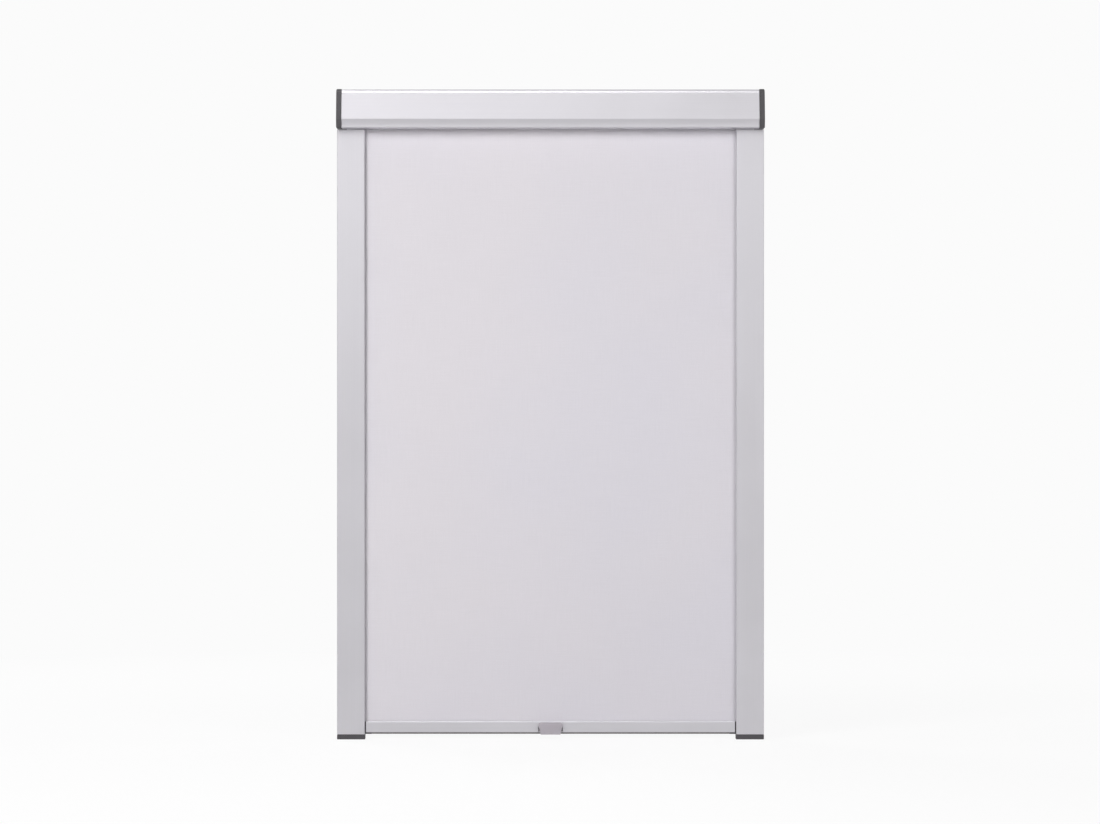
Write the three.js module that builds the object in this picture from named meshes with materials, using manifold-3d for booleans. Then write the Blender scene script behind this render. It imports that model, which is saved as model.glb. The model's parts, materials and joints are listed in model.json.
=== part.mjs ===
// A roller blind for a roof window: a spring roller in an aluminium headbox, a blackout fabric whose
// edges run in two side rails, and a bottom bar with a finger grip that slides up and down in them.
// Millimetres. +X runs across the window, +Y away from the room, +Z up. The sash plane is y = 0, and
// the origin is the middle of the headbox's upper rear lip, which lies on the sash.

import * as THREE from "three";
import { mergeVertices } from "three/addons/utils/BufferGeometryUtils.js";
import Module from "manifold-3d";

const wasm = await Module();
wasm.setup();

// Driving sizes. A depth is measured from the sash plane towards the room.

const blind = {
  width: 613, // over the end caps, and over the rails
  height: 932, // top of the headbox to the feet
};

const clearance = {
  seat: 0.3, // between pieces that touch
  run: 0.4, // on each side of a piece that slides or turns
};

const headbox = {
  height: 55.4,
  wall: 1.4,
  faceTopDepth: 38.2, // where the face would meet the top if that edge were sharp
  edgeRadius: 8, // of that edge
  noseDepth: 47.2, // lower edge of the face
  noseHeight: 12.3,
  noseRadius: 1.3,
  coveSag: 0.85, // hollow of the band under the nose, which ends nearly upright
  lipDepth: 43.4, // front of the bottom edge, set back under the nose
  lipHeight: 2.6,
  lipRadius: 1.2,
  slotDepth: 15.2, // rear end of the cover's bottom wall, where the fabric comes out
  turnUp: 5.2, // stiffening edge along the slot
  turnUpRadius: 1.1,
};

const back = {
  wall: 1.4,
  grooveDepth: 4, // behind the rear wall, for the clips
  lipHeight: 9, // of the two lips that hook over the clips
  flangeReach: 14.3, // the upper flange, from the sash plane to its front edge
};

const hook = { wall: 1.2, reach: 4.8 }; // the rib under the cover's top that holds the upper flange

const port = { bore: 1.55, radius: 2.9, mouthAngle: 70, sunk: 0.6 }; // grooves that take the end screws

const cap = {
  thickness: 7.3,
  proud: 0.6, // past the outline of the profiles
  skin: 2.2,
  rim: 2.2,
  cornerRadius: 3.2,
  edgeRadius: 1.6,
  shoulderRadius: 9,
  backCornerRadius: 2.4,
  bossRadius: 3.8,
  ribLength: 5,
  ribWall: 1.6,
  tenonLength: 16,
  tenonRoot: 7, // height of its root inside the headbox
};

const screw = {
  headRadius: 3.1,
  headHeight: 1.7,
  coreRadius: 1.2,
  length: 15,
  tip: 1.8,
  slotLength: 3.6,
  slotWidth: 0.8,
  slotDepth: 0.9,
};

const clip = {
  width: 32,
  wall: 1.2,
  fromEnd: 92, // of the headbox to the clip's middle
  plateMargin: 2.6, // from a lip's edge to the step in the clip
  overlap: 4.2, // of a wing behind a lip
  holeRadius: 2.1,
  holeSpacing: 17,
  tongueWidth: 10,
  tongueSlit: 1.2,
};

const roller = {
  axisDepth: 24.6,
  axisHeight: 26, // above the headbox's bottom
  radius: 12.5,
  wall: 1,
  toCap: 4.4, // from the end cap's inside face to the plug's flange
  flange: 2.4,
  flangeRadius: 13.6,
  plugLength: 22,
  grooveCentre: 10.3, // of the groove that holds the fabric, from the axis
  grooveRadius: 1.35,
  grooveWall: 0.7,
  grooveMouth: 0.9,
};

const motor = {
  rodRadius: 3,
  rodLength: 208,
  tongue: 4.2, // square end of the rod
  bossRadius: 7,
  anchorAt: 30, // of the anchor's flange from the rod's outer end
  anchorFlange: 3,
  anchorFlangeRadius: 7.6,
  anchorCore: 12,
  coreRadius: 5, // of the two cores inside the coil's ends
  coilRadius: 6.6,
  wireRadius: 0.8,
  coilPitch: 5,
  coilTurns: 24,
  driveLength: 20,
  driveCore: 9,
  retainerRadius: 5.4,
  retainerWall: 0.9,
  retainerSpace: 2,
};

const idle = { pinRadius: 3, reach: 13, endPlay: 2 }; // the pin that the idle plug turns on

const fabric = {
  margin: 14, // how far each edge runs inside its rail
  thickness: 0.35,
  wraps: 1.25, // turns left on the roller when the blind is closed
  wrapPitch: 0.65,
  bendHeight: 3, // below the headbox, where the fabric is in line with the rails
  bendRadius: 50,
};

const rail = {
  width: 40,
  depth: 16,
  wall: 1.4,
  chamber: 12.6, // inside width of the hollow at the outer side
  mouth: 8, // opening between the lips
  flange: 12, // screw flange behind the fabric
  outerRadius: 1,
  lipRadius: 2,
  holeRadius: 2.1,
  sinkRadius: 3.6,
  holeFromEnd: 46,
};

const foot = { thickness: 7, plugLength: 10, edgeRadius: 0.9, proud: 0.3 };

const brush = { base: 0.9, height: 3, rise: 0.9 }; // light seal along the fabric slot

const bar = {
  depth: 11,
  height: 16,
  wall: 1.2,
  endGap: 1.6, // between the profile and a rail's lip
  topRadius: 1.8,
  bottomRadius: 1,
  kederRadius: 1.7,
  slot: 1.2,
  hollowHeight: 5.4,
  hollowFloor: 3.6,
  grooveWidth: 5,
  grooveHeight: 1.5,
  grooveMouth: 2.6,
};

const seal = { lip: 2.4, lipWidth: 1.6, clear: 0.5 };

const glide = {
  endPlay: 2.8, // between its head and the far wall of the channel
  neckTop: 1.2, // below the bar's top
  toe: 8, // how far it reaches in under the bar's end, level with the seal
  tongueLength: 15,
  tongueHole: 1.6,
  padMargin: 4.5, // from each end of its head to the pad
  padHeight: 9,
  padThickness: 1.3,
  padProud: 0.1,
  springPocket: 2.2,
  springWall: 0.4,
  springMargin: 2.5, // from each end of its head to the leaf spring
  springHeight: 7,
  cornerRadius: 1.5,
};

const grip = {
  width: 34.6, // at its top
  lowerWidth: 28.4,
  reach: 12.6, // in front of the bar's face
  undercut: 2.4, // the face leans back by this much down to its lower edge
  wall: 1.6,
  fromTop: 1.6, // of the bar
  radius: 2.2,
  pegRadius: 1.5,
  pegLength: 3,
  pegSpacing: 20,
};

const overrun = 2; // of a cutting tool past the face that it cuts
const weldDistance = 0.001;
const arcStep = Math.PI / 12;
const fineSides = 32;
const plainSides = 20;

// Sizes worked out from those above.

const half = blind.width / 2;
const capInside = half - cap.thickness;
const profileHalf = capInside - clearance.seat;
const fabricDepth = rail.depth / 2;
const fabricHalf = half - rail.width + fabric.margin;

const flangeTop = headbox.height - headbox.wall - clearance.seat;
const lipMiddle = flangeTop - back.lipHeight / 2;
const rearWallDepth = back.wall + back.grooveDepth;
const rearWallFront = rearWallDepth + back.wall;

const headboxBottom = -lipMiddle; // z of the headbox's bottom edge
const feetBottom = headboxBottom + headbox.height - blind.height;
const railBottom = foot.thickness + clearance.seat; // heights above the feet
const railTop = blind.height - headbox.height - cap.proud - clearance.seat;
const barBottom = foot.thickness + seal.clear + seal.lip;
const barHalf = half - rail.width - bar.endGap;

const tubeHalf = capInside - roller.toCap - clearance.seat - roller.flange;
const wrapRadius = roller.radius + clearance.seat + fabric.thickness / 2;
const leaveRadius = wrapRadius + fabric.wraps * fabric.wrapPitch;
const leaveDepth = roller.axisDepth - leaveRadius;
const axis = [roller.axisDepth, roller.axisHeight];

const ports = [
  { name: "rear", depth: rearWallFront + port.radius - port.sunk, height: lipMiddle - port.radius, faces: 0 },
  {
    name: "top",
    depth: headbox.faceTopDepth - headbox.edgeRadius,
    height: headbox.height - headbox.wall - port.radius + port.sunk,
    faces: -90,
  },
  {
    name: "front",
    depth: headbox.lipDepth - headbox.wall - port.radius - port.sunk,
    height: headbox.wall + port.radius - port.sunk,
    faces: 90,
  },
];

// Finishes.

const finish = (color, roughness, metalness) =>
  new THREE.MeshStandardMaterial({ color, roughness, metalness });
const silverAluminium = finish(0xcfced2, 0.42, 0.85);
const millAluminium = finish(0xb9babd, 0.5, 0.9);
const darkPlastic = finish(0x59585b, 0.55, 0);
const greyPlastic = finish(0xaaa6ab, 0.45, 0);
const whitePlastic = finish(0xe4e3e0, 0.4, 0);
const zincSteel = finish(0xa7a9ad, 0.38, 0.9);
const springSteel = finish(0x77797d, 0.35, 0.95);
const blackoutCloth = finish(0xd6d3d9, 0.9, 0);
const darkRubber = finish(0x5d5a5c, 0.8, 0);
const greyPile = finish(0x8a888b, 1, 0);

// Helpers for outlines and solids.

// The points of a line through corners [x, y, radius], with an arc of that radius at each corner.
function rounded(corners, closed = false) {
  const count = corners.length;
  return corners.flatMap(([x, y, radius = 0], i) => {
    const here = new THREE.Vector2(x, y);
    const isEnd = !closed && (i === 0 || i === count - 1);
    if (!radius || isEnd) return [here];
    const toLast = new THREE.Vector2(...corners[(i + count - 1) % count]).sub(here).normalize();
    const toNext = new THREE.Vector2(...corners[(i + 1) % count]).sub(here).normalize();
    const halfAngle = Math.acos(THREE.MathUtils.clamp(toLast.dot(toNext), -1, 1)) / 2;
    const middle = toLast.clone().add(toNext).normalize();
    const centre = here.clone().addScaledVector(middle, radius / Math.sin(halfAngle));
    const start = here.clone().addScaledVector(toLast, radius / Math.tan(halfAngle));
    const first = start.sub(centre).angle();
    const sweep = (Math.PI - 2 * halfAngle) * Math.sign(toNext.cross(toLast));
    const steps = Math.max(1, Math.ceil(Math.abs(sweep) / arcStep));
    return Array.from({ length: steps + 1 }, (_, k) => {
      const angle = first + (sweep * k) / steps;
      return new THREE.Vector2(Math.cos(angle), Math.sin(angle)).multiplyScalar(radius).add(centre);
    });
  });
}

// Corners along a circular arc between two points, its middle moved to the right by the sag.
function arcCorners([x0, y0], [x1, y1], sag, steps) {
  const chord = Math.hypot(x1 - x0, y1 - y0);
  const radius = (chord * chord) / (8 * sag) + sag / 2;
  const halfSweep = Math.asin(chord / 2 / radius);
  const along = [(x1 - x0) / chord, (y1 - y0) / chord];
  return Array.from({ length: steps - 1 }, (_, i) => {
    const angle = halfSweep * ((2 * (i + 1)) / steps - 1);
    const run = chord / 2 + radius * Math.sin(angle);
    const off = radius * Math.cos(angle) - (radius - sag);
    return [x0 + along[0] * run + along[1] * off, y0 + along[1] * run - along[0] * off, 0];
  });
}

// The points of a line moved to its left; a miter keeps the distance even at a corner.
function moved(line, distance, closed = false) {
  const count = line.length;
  return line.map((point, i) => {
    const before = closed ? line[(i + count - 1) % count] : line[i - 1];
    const after = closed ? line[(i + 1) % count] : line[i + 1];
    const into = (before ? point.clone().sub(before) : after.clone().sub(point)).normalize();
    const out = (after ? after.clone().sub(point) : point.clone().sub(before)).normalize();
    const along = into.clone().add(out).normalize();
    const reach = distance / along.dot(into);
    return new THREE.Vector2(point.x - along.y * reach, point.y + along.x * reach);
  });
}

// The corners of a closed outline moved inwards, each with its radius less the inset.
function insetCorners(corners, inset) {
  const line = corners.map(([x, y]) => new THREE.Vector2(x, y));
  return moved(line, inset, true).map(({ x, y }, i) => [x, y, Math.max(0, (corners[i][2] ?? 0) - inset)]);
}

// The section of a wall of even thickness along a line, half of it on each side.
const wallAlong = (line, wall) =>
  new THREE.Shape([...moved(line, wall / 2), ...moved(line, -wall / 2).reverse()]);

// The section of a C-shaped screw groove, its mouth facing the given angle.
function portSection({ depth, height, faces }) {
  const mouth = THREE.MathUtils.degToRad(port.mouthAngle) / 2;
  const start = THREE.MathUtils.degToRad(faces) + mouth;
  const end = start + 2 * (Math.PI - mouth);
  return new THREE.Shape()
    .absarc(depth, height, port.radius, start, end)
    .absarc(depth, height, port.bore, end, start, true);
}

// A rectangle with its sides at the given places.
const rectangle = (x0, x1, y0, y1) =>
  new THREE.Shape([
    new THREE.Vector2(x0, y0),
    new THREE.Vector2(x1, y0),
    new THREE.Vector2(x1, y1),
    new THREE.Vector2(x0, y1),
  ]);

// Turns a section of (depth, height) into a length of profile that runs along X.
function across(section, from, to, bevel = {}) {
  const sizes = { depth: to - from, bevelEnabled: false, curveSegments: plainSides / 2, ...bevel };
  const frame = new THREE.Matrix4().makeBasis(
    new THREE.Vector3(0, -1, 0),
    new THREE.Vector3(0, 0, 1),
    new THREE.Vector3(-1, 0, 0),
  );
  return new THREE.ExtrudeGeometry(section, sizes).applyMatrix4(frame).translate(to, 0, 0);
}

// Turns a section of (x, depth) into a length of profile that runs up Z.
function upright(section, from, to, bevel = {}) {
  const sizes = { depth: to - from, bevelEnabled: false, curveSegments: plainSides / 2, ...bevel };
  const frame = new THREE.Matrix4().makeBasis(
    new THREE.Vector3(1, 0, 0),
    new THREE.Vector3(0, -1, 0),
    new THREE.Vector3(0, 0, -1),
  );
  return new THREE.ExtrudeGeometry(section, sizes).applyMatrix4(frame).translate(0, 0, to);
}

// The two ends of a stretch round its middle, with a margin at each end.
const around = (middle, length, margin = 0) => [middle - length / 2 - margin, middle + length / 2 + margin];

// A block between two x, two depths and two heights.
function block([x0, x1], [d0, d1], [h0, h1]) {
  const middle = [(x0 + x1) / 2, -(d0 + d1) / 2, (h0 + h1) / 2];
  return new THREE.BoxGeometry(x1 - x0, d1 - d0, h1 - h0).translate(...middle);
}

// A body turned about an axis along X, from a profile of [radius, x] that starts and ends on the axis
// or closes on itself.
const turned = (profile, depth, height, sides = fineSides) =>
  new THREE.LatheGeometry(
    profile.map(([radius, x]) => new THREE.Vector2(radius, x)),
    sides,
  )
    .rotateZ(-Math.PI / 2)
    .translate(0, -depth, height);

// A plain pin along X.
const pin = (radius, from, to, depth, height, sides = plainSides) =>
  new THREE.CylinderGeometry(radius, radius, to - from, sides)
    .rotateZ(Math.PI / 2)
    .translate((from + to) / 2, -depth, height);

// A drill along the depth, wider at its front end if it countersinks.
const drill = (radius, frontRadius, x, [d0, d1], height) =>
  new THREE.CylinderGeometry(radius, frontRadius, d1 - d0, plainSides).translate(x, -(d0 + d1) / 2, height);

// A closed geometry as a solid that can be joined and cut.
function solidOf(geometry) {
  const bare = new THREE.BufferGeometry().setAttribute("position", geometry.getAttribute("position"));
  bare.setIndex(geometry.index);
  const merged = mergeVertices(bare, weldDistance);
  const vertProperties = merged.attributes.position.array;
  const triVerts = new Uint32Array(merged.index.array);
  return new wasm.Manifold(new wasm.Mesh({ numProp: 3, vertProperties, triVerts }));
}

// A solid as a geometry.
function geometryOf(solid) {
  const { vertProperties, triVerts } = solid.getMesh();
  return new THREE.BufferGeometry()
    .setAttribute("position", new THREE.BufferAttribute(vertProperties, 3))
    .setIndex(new THREE.BufferAttribute(triVerts, 1));
}

const join = (first, ...others) =>
  geometryOf(others.reduce((made, other) => made.add(solidOf(other)), solidOf(first)));
const cut = (first, ...tools) =>
  geometryOf(tools.reduce((made, tool) => made.subtract(solidOf(tool)), solidOf(first)));
const common = (first, second) => geometryOf(solidOf(first).intersect(solidOf(second)));

// Adds a named piece to a group.
function piece(parent, name, geometry, material) {
  const mesh = new THREE.Mesh(geometry, material.clone());
  mesh.name = name;
  parent.add(mesh);
  return mesh;
}

// A group at a height, in the given parent.
function groupAt(parent, height) {
  const group = new THREE.Group();
  group.position.z = height;
  parent.add(group);
  return group;
}

// Each side's pieces are drawn for +X, and the left ones are their mirror image.
const sides = [
  { name: "left", sign: -1 },
  { name: "right", sign: 1 },
];

function sideGroup(parent, { sign }) {
  const group = groupAt(parent, 0);
  group.scale.x = sign;
  return group;
}

const assembly = new THREE.Group();
const headboxGroup = groupAt(assembly, headboxBottom);
const railsGroup = groupAt(assembly, feetBottom);
const barGroup = groupAt(railsGroup, barBottom);

// Headbox: two profiles that hook together, a light seal and the clips behind.

// The line along the middle of the cover's wall, from its rear top edge round to the fabric slot.
function coverLine() {
  const inset = headbox.wall / 2;
  const nose = [headbox.noseDepth - inset, headbox.noseHeight, headbox.noseRadius];
  const lip = [headbox.lipDepth - inset, headbox.lipHeight, 0];
  const coveSteps = 8;
  return rounded([
    [0, headbox.height - inset],
    [headbox.faceTopDepth - inset, headbox.height - inset, headbox.edgeRadius - inset],
    nose,
    ...arcCorners(nose, lip, headbox.coveSag, coveSteps),
    lip,
    [headbox.lipDepth - inset, inset, headbox.lipRadius],
    [headbox.slotDepth, inset, headbox.turnUpRadius],
    [headbox.slotDepth, headbox.turnUp],
  ]);
}

function headboxCover() {
  const flangeUnder = flangeTop - back.wall;
  const hookDepth = back.flangeReach + clearance.seat + hook.wall / 2;
  const hookHeight = flangeUnder - clearance.seat - hook.wall / 2;
  const hookLine = rounded([
    [hookDepth, headbox.height - headbox.wall / 2],
    [hookDepth, hookHeight],
    [hookDepth - hook.reach, hookHeight],
  ]);
  const [, topPort, frontPort] = ports;
  const sections = [
    wallAlong(coverLine(), headbox.wall),
    wallAlong(hookLine, hook.wall),
    portSection(topPort),
    portSection(frontPort),
  ];
  return join(...sections.map((section) => across(section, -profileHalf, profileHalf)));
}

function headboxBack() {
  const sections = [
    rectangle(rearWallDepth, rearWallFront, 0, flangeTop),
    rectangle(0, back.flangeReach, flangeTop - back.wall, flangeTop),
    rectangle(0, rearWallFront, 0, back.wall),
    rectangle(0, back.wall, flangeTop - back.lipHeight, flangeTop),
    rectangle(0, back.wall, 0, back.lipHeight),
    portSection(ports[0]),
  ];
  return join(...sections.map((section) => across(section, -profileHalf, profileHalf)));
}

// Depth of the fabric's middle at a height in the headbox.
function fabricDepthAt(height) {
  const rise = height + fabric.bendHeight;
  const fullRise = roller.axisHeight + fabric.bendHeight;
  return THREE.MathUtils.lerp(fabricDepth, leaveDepth, rise / fullRise);
}

function slotBrush() {
  const base = headbox.slotDepth - headbox.wall / 2 - clearance.seat;
  const bottom = headbox.wall + brush.rise;
  const top = bottom + brush.height;
  const pileEnd = fabricDepthAt(top) + fabric.thickness / 2 + clearance.seat;
  const taper = brush.height / 4;
  const section = new THREE.Shape([
    new THREE.Vector2(base, bottom),
    new THREE.Vector2(base, top),
    new THREE.Vector2(base - brush.base, top),
    new THREE.Vector2(pileEnd, top - taper),
    new THREE.Vector2(pileEnd, bottom + taper),
    new THREE.Vector2(base - brush.base, bottom),
  ]);
  const end = capInside - cap.ribLength - clearance.seat - rail.chamber;
  return across(section, -end, end);
}

// A sprung steel clip: its plate lies on the sash, and its wings reach behind the headbox's two lips.
function sashClip() {
  const lower = back.lipHeight;
  const upper = flangeTop - back.lipHeight;
  const wingDepth = back.wall + clearance.seat + clip.wall / 2;
  const plateDepth = clip.wall / 2;
  const rise = wingDepth - plateDepth;
  const line = rounded([
    [wingDepth, lower - clip.overlap],
    [wingDepth, lower + clip.plateMargin - rise],
    [plateDepth, lower + clip.plateMargin],
    [plateDepth, upper - clip.plateMargin],
    [wingDepth, upper - clip.plateMargin + rise],
    [wingDepth, upper + clip.overlap],
  ]);
  const middle = (lower + upper) / 2;
  const through = [-overrun, wingDepth + overrun];
  const holes = [-1, 1].map((sign) =>
    drill(clip.holeRadius, clip.holeRadius, (sign * clip.holeSpacing) / 2, through, middle),
  );
  const slits = [-1, 1].map((sign) => {
    const inner = (sign * clip.tongueWidth) / 2;
    const outer = inner + sign * clip.tongueSlit;
    const span = [Math.min(inner, outer), Math.max(inner, outer)];
    return block(span, through, [upper - clip.plateMargin, upper + clip.overlap + overrun]);
  });
  return cut(across(wallAlong(line, clip.wall), -clip.width / 2, clip.width / 2), ...holes, ...slits);
}

// End caps: moulded trays that close the headbox, carry the roller and plug into the rails.

// Corners of the cap's outline, which runs smoothly past the nose and the cove.
const capCorners = [
  [0, -cap.proud, cap.backCornerRadius],
  [headbox.lipDepth + cap.proud, -cap.proud, cap.cornerRadius],
  [headbox.noseDepth + cap.proud, headbox.noseHeight, cap.shoulderRadius],
  [headbox.faceTopDepth + cap.proud, headbox.height + cap.proud, cap.shoulderRadius],
  [0, headbox.height + cap.proud, cap.backCornerRadius],
];

function capTray() {
  const outline = rounded(capCorners, true);
  const bevel = {
    bevelEnabled: true,
    bevelSize: cap.edgeRadius,
    bevelThickness: cap.edgeRadius,
    bevelOffset: -cap.edgeRadius,
    bevelSegments: 3,
  };
  const plate = across(new THREE.Shape(outline), capInside - overrun, half - cap.edgeRadius, bevel);
  const trimmed = common(plate, block([capInside, half], [0, blind.width], [-blind.width, blind.width]));
  const inside = rounded(insetCorners(capCorners, cap.rim), true);
  const core = across(new THREE.Shape(inside), capInside - overrun, half - cap.skin);
  return cut(trimmed, core);
}

// The ribs that locate the cap inside the cover's face and bottom wall.
function capRibs() {
  const inset = headbox.wall + clearance.seat + cap.ribWall / 2;
  const lean = (headbox.noseDepth - headbox.faceTopDepth) / (headbox.height - headbox.noseHeight);
  const faceAt = (height) => headbox.noseDepth - lean * (height - headbox.noseHeight) - inset;
  const [rear, top, front] = ports;
  const faceRib = wallAlong(
    rounded([
      [faceAt(headbox.noseHeight) - headbox.coveSag, headbox.noseHeight],
      [faceAt(top.height - port.radius) - headbox.coveSag / 2, top.height - port.radius - cap.ribWall],
    ]),
    cap.ribWall,
  );
  const floorRib = wallAlong(
    rounded([
      [headbox.slotDepth + inset, inset],
      [front.depth - port.radius - cap.ribWall, inset],
    ]),
    cap.ribWall,
  );
  const rearRib = wallAlong(
    rounded([
      [rearWallFront + clearance.seat + cap.ribWall / 2, roller.axisHeight],
      [rearWallFront + clearance.seat + cap.ribWall / 2, rear.height - port.radius - cap.ribWall],
    ]),
    cap.ribWall,
  );
  return [faceRib, floorRib, rearRib].map((rib) => across(rib, capInside - cap.ribLength, half - cap.skin));
}

// The tongue under the cap that slides into the rail's hollow.
function capTenon() {
  const depths = [rearWallFront + clearance.seat, headbox.slotDepth - headbox.wall / 2 - clearance.seat];
  const inner = half - rail.wall - rail.chamber + clearance.seat;
  const outer = half - rail.wall - clearance.seat;
  const lead = cap.tenonLength / 4;
  const outline = rounded([
    [inner, cap.tenonRoot],
    [inner, -cap.tenonLength + lead],
    [inner + lead / 2, -cap.tenonLength],
    [outer - lead / 2, -cap.tenonLength],
    [outer, -cap.tenonLength + lead],
    [outer, cap.tenonRoot],
  ]);
  const [rear, frontSide] = depths;
  return new THREE.ExtrudeGeometry(new THREE.Shape(outline), { depth: frontSide - rear, bevelEnabled: false })
    .rotateX(Math.PI / 2)
    .translate(0, -rear, 0);
}

function endCap(socket) {
  const bossEnd = capInside - roller.toCap + clearance.seat;
  const shaftBoss = pin(motor.bossRadius, bossEnd, half - cap.skin, ...axis, fineSides);
  const screwBosses = ports.map(({ depth, height }) =>
    pin(cap.bossRadius, capInside, half - cap.skin, depth, height),
  );
  const screwWays = ports.map(({ depth, height }) =>
    pin(screw.coreRadius + clearance.seat, capInside - overrun, half + overrun, depth, height),
  );
  const sinks = ports.map(({ depth, height }) => screwSink(depth, height));
  const moulding = join(capTray(), shaftBoss, ...screwBosses, ...capRibs(), capTenon());
  return cut(moulding, socket, ...screwWays, ...sinks);
}

// The room for a countersunk head in the outer face, with a seating gap round it.
function screwSink(depth, height) {
  const wide = screw.headRadius + clearance.seat;
  const narrow = screw.coreRadius + clearance.seat;
  const bottom = half - screw.headHeight - clearance.seat;
  const profile = [
    [0, bottom],
    [narrow, bottom],
    [wide, half - clearance.seat],
    [wide, half + overrun],
    [0, half + overrun],
  ];
  return turned(profile, depth, height, plainSides);
}

// A countersunk tapping screw with a cross slot; its head is just below the face at the given x.
function tappingScrew(face) {
  const top = face - clearance.seat;
  const neck = top - screw.headHeight;
  const point = neck - screw.length;
  const body = turned(
    [
      [0, point],
      [screw.coreRadius / 2, point],
      [screw.coreRadius, point + screw.tip],
      [screw.coreRadius, neck],
      [screw.headRadius, top],
      [0, top],
    ],
    0,
    0,
    plainSides,
  );
  const long = [-screw.slotLength / 2, screw.slotLength / 2];
  const narrow = [-screw.slotWidth / 2, screw.slotWidth / 2];
  const sunk = [top - screw.slotDepth, top + overrun];
  return cut(body, block(sunk, long, narrow), block(sunk, narrow, long));
}

piece(headboxGroup, "headbox_cover", headboxCover(), silverAluminium);
piece(headboxGroup, "headbox_back", headboxBack(), silverAluminium);
piece(headboxGroup, "slot_brush", slotBrush(), greyPile);

const socketSpan = [capInside - roller.toCap, half - cap.skin];
const squareHalf = motor.tongue / 2 + clearance.seat;
const squareSocket = block(
  socketSpan,
  [roller.axisDepth - squareHalf, roller.axisDepth + squareHalf],
  [roller.axisHeight - squareHalf, roller.axisHeight + squareHalf],
);
const roundSocket = pin(idle.pinRadius + clearance.seat, ...socketSpan, ...axis);

for (const side of sides) {
  const group = sideGroup(headboxGroup, side);
  piece(group, `end_cap_${side.name}`, endCap(side.sign < 0 ? squareSocket : roundSocket), darkPlastic);
  piece(group, `sash_clip_${side.name}`, sashClip(), zincSteel).position.x = half - clip.fromEnd;
  for (const { name, depth, height } of ports) {
    const capScrew = piece(group, `cap_screw_${name}_${side.name}`, tappingScrew(half), zincSteel);
    capScrew.position.set(0, -depth, height);
  }
}

// Roller: a tube between two plugs, turned by a torsion spring on a fixed rod.

const grooveHeight = roller.axisHeight - roller.grooveCentre;
const grooveOutside = roller.grooveRadius + roller.grooveWall;

function rollerTube() {
  const ring = new THREE.Shape().absarc(...axis, roller.radius, 0, 2 * Math.PI);
  ring.holes.push(new THREE.Path().absarc(...axis, roller.radius - roller.wall, 0, 2 * Math.PI));
  const tube = across(ring, -tubeHalf, tubeHalf, { curveSegments: fineSides });
  const holder = pin(grooveOutside, -tubeHalf, tubeHalf, roller.axisDepth, grooveHeight);
  const kept = common(holder, pin(roller.radius - roller.wall / 2, -tubeHalf, tubeHalf, ...axis, fineSides));
  const bore = pin(roller.grooveRadius, -half, half, roller.axisDepth, grooveHeight);
  const mouth = block(
    [-half, half],
    [roller.axisDepth - roller.grooveMouth / 2, roller.axisDepth + roller.grooveMouth / 2],
    [roller.axisHeight - roller.radius - overrun, grooveHeight],
  );
  return cut(join(tube, kept), bore, mouth);
}

// The room that a plug leaves for the tube's groove; the groove also keys the plug to the tube.
const keyway = (from, to) =>
  join(
    pin(grooveOutside + clearance.seat, from, to, roller.axisDepth, grooveHeight),
    block(
      [from, to],
      [roller.axisDepth - grooveOutside - clearance.seat, roller.axisDepth + grooveOutside + clearance.seat],
      [roller.axisHeight - roller.radius - overrun, grooveHeight],
    ),
  );

// An end plug with its flange outside the tube and a bore that runs on the rod or the pin. The bore
// goes right through, unless it has a depth.
function endPlug(boreRadius, boreDepth) {
  const outer = tubeHalf + clearance.seat + roller.flange;
  const shoulder = tubeHalf + clearance.seat;
  const inner = tubeHalf - roller.plugLength;
  const barrel = roller.radius - roller.wall - clearance.seat;
  const bored = boreRadius + clearance.run;
  const plug = turned(
    [
      [bored, inner],
      [barrel, inner],
      [barrel, shoulder],
      [roller.flangeRadius, shoulder],
      [roller.flangeRadius, outer],
      [bored, outer],
      [bored, inner],
    ],
    ...axis,
  );
  const floor = boreDepth ? [pin(bored + clearance.seat, inner, outer - boreDepth, ...axis)] : [];
  return cut(join(plug, ...floor), keyway(inner - overrun, shoulder));
}

// The fixed rod, drawn for +X with its square tongue in the end cap.
const rodOuter = capInside - roller.toCap;
const rodInner = rodOuter - motor.rodLength;
const anchorOuter = rodOuter - motor.anchorAt;
const coilStart = anchorOuter - motor.anchorFlange - clearance.seat - motor.wireRadius;
const coilEnd = coilStart - motor.coilPitch * motor.coilTurns;
const driveOuter = coilEnd - motor.wireRadius - clearance.seat;
const driveFlangeInner = driveOuter - motor.driveLength;
const retainerOuter = driveFlangeInner - clearance.seat;

function springRod() {
  const tongueEnd = half - cap.skin - clearance.seat;
  const rod = pin(motor.rodRadius, rodInner, rodOuter, 0, 0);
  const tongue = block(
    [rodOuter - overrun, tongueEnd],
    [-motor.tongue / 2, motor.tongue / 2],
    [-motor.tongue / 2, motor.tongue / 2],
  );
  return join(rod, tongue);
}

// A sleeve with a flange at its outer end, on the rod.
const flangedSleeve = (bore, core, flange, inner, step, outer) =>
  turned(
    [
      [bore, inner],
      [core, inner],
      [core, step],
      [flange, step],
      [flange, outer],
      [bore, outer],
      [bore, inner],
    ],
    0,
    0,
  );

function springAnchor() {
  const bore = motor.rodRadius + clearance.seat;
  const step = anchorOuter - motor.anchorFlange;
  const inner = step - motor.anchorCore;
  return flangedSleeve(bore, motor.coreRadius, motor.anchorFlangeRadius, inner, step, anchorOuter);
}

// The plug that the spring drives; its barrel fits the tube, and its core carries the spring's end.
function drivePlug() {
  const bore = motor.rodRadius + clearance.run;
  const barrel = roller.radius - roller.wall - clearance.seat;
  const body = turned(
    [
      [bore, driveFlangeInner],
      [barrel, driveFlangeInner],
      [barrel, driveOuter],
      [motor.coreRadius, driveOuter],
      [motor.coreRadius, driveOuter + motor.driveCore],
      [bore, driveOuter + motor.driveCore],
      [bore, driveFlangeInner],
    ],
    ...axis,
  );
  return cut(body, keyway(driveFlangeInner - overrun, driveOuter + overrun));
}

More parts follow.
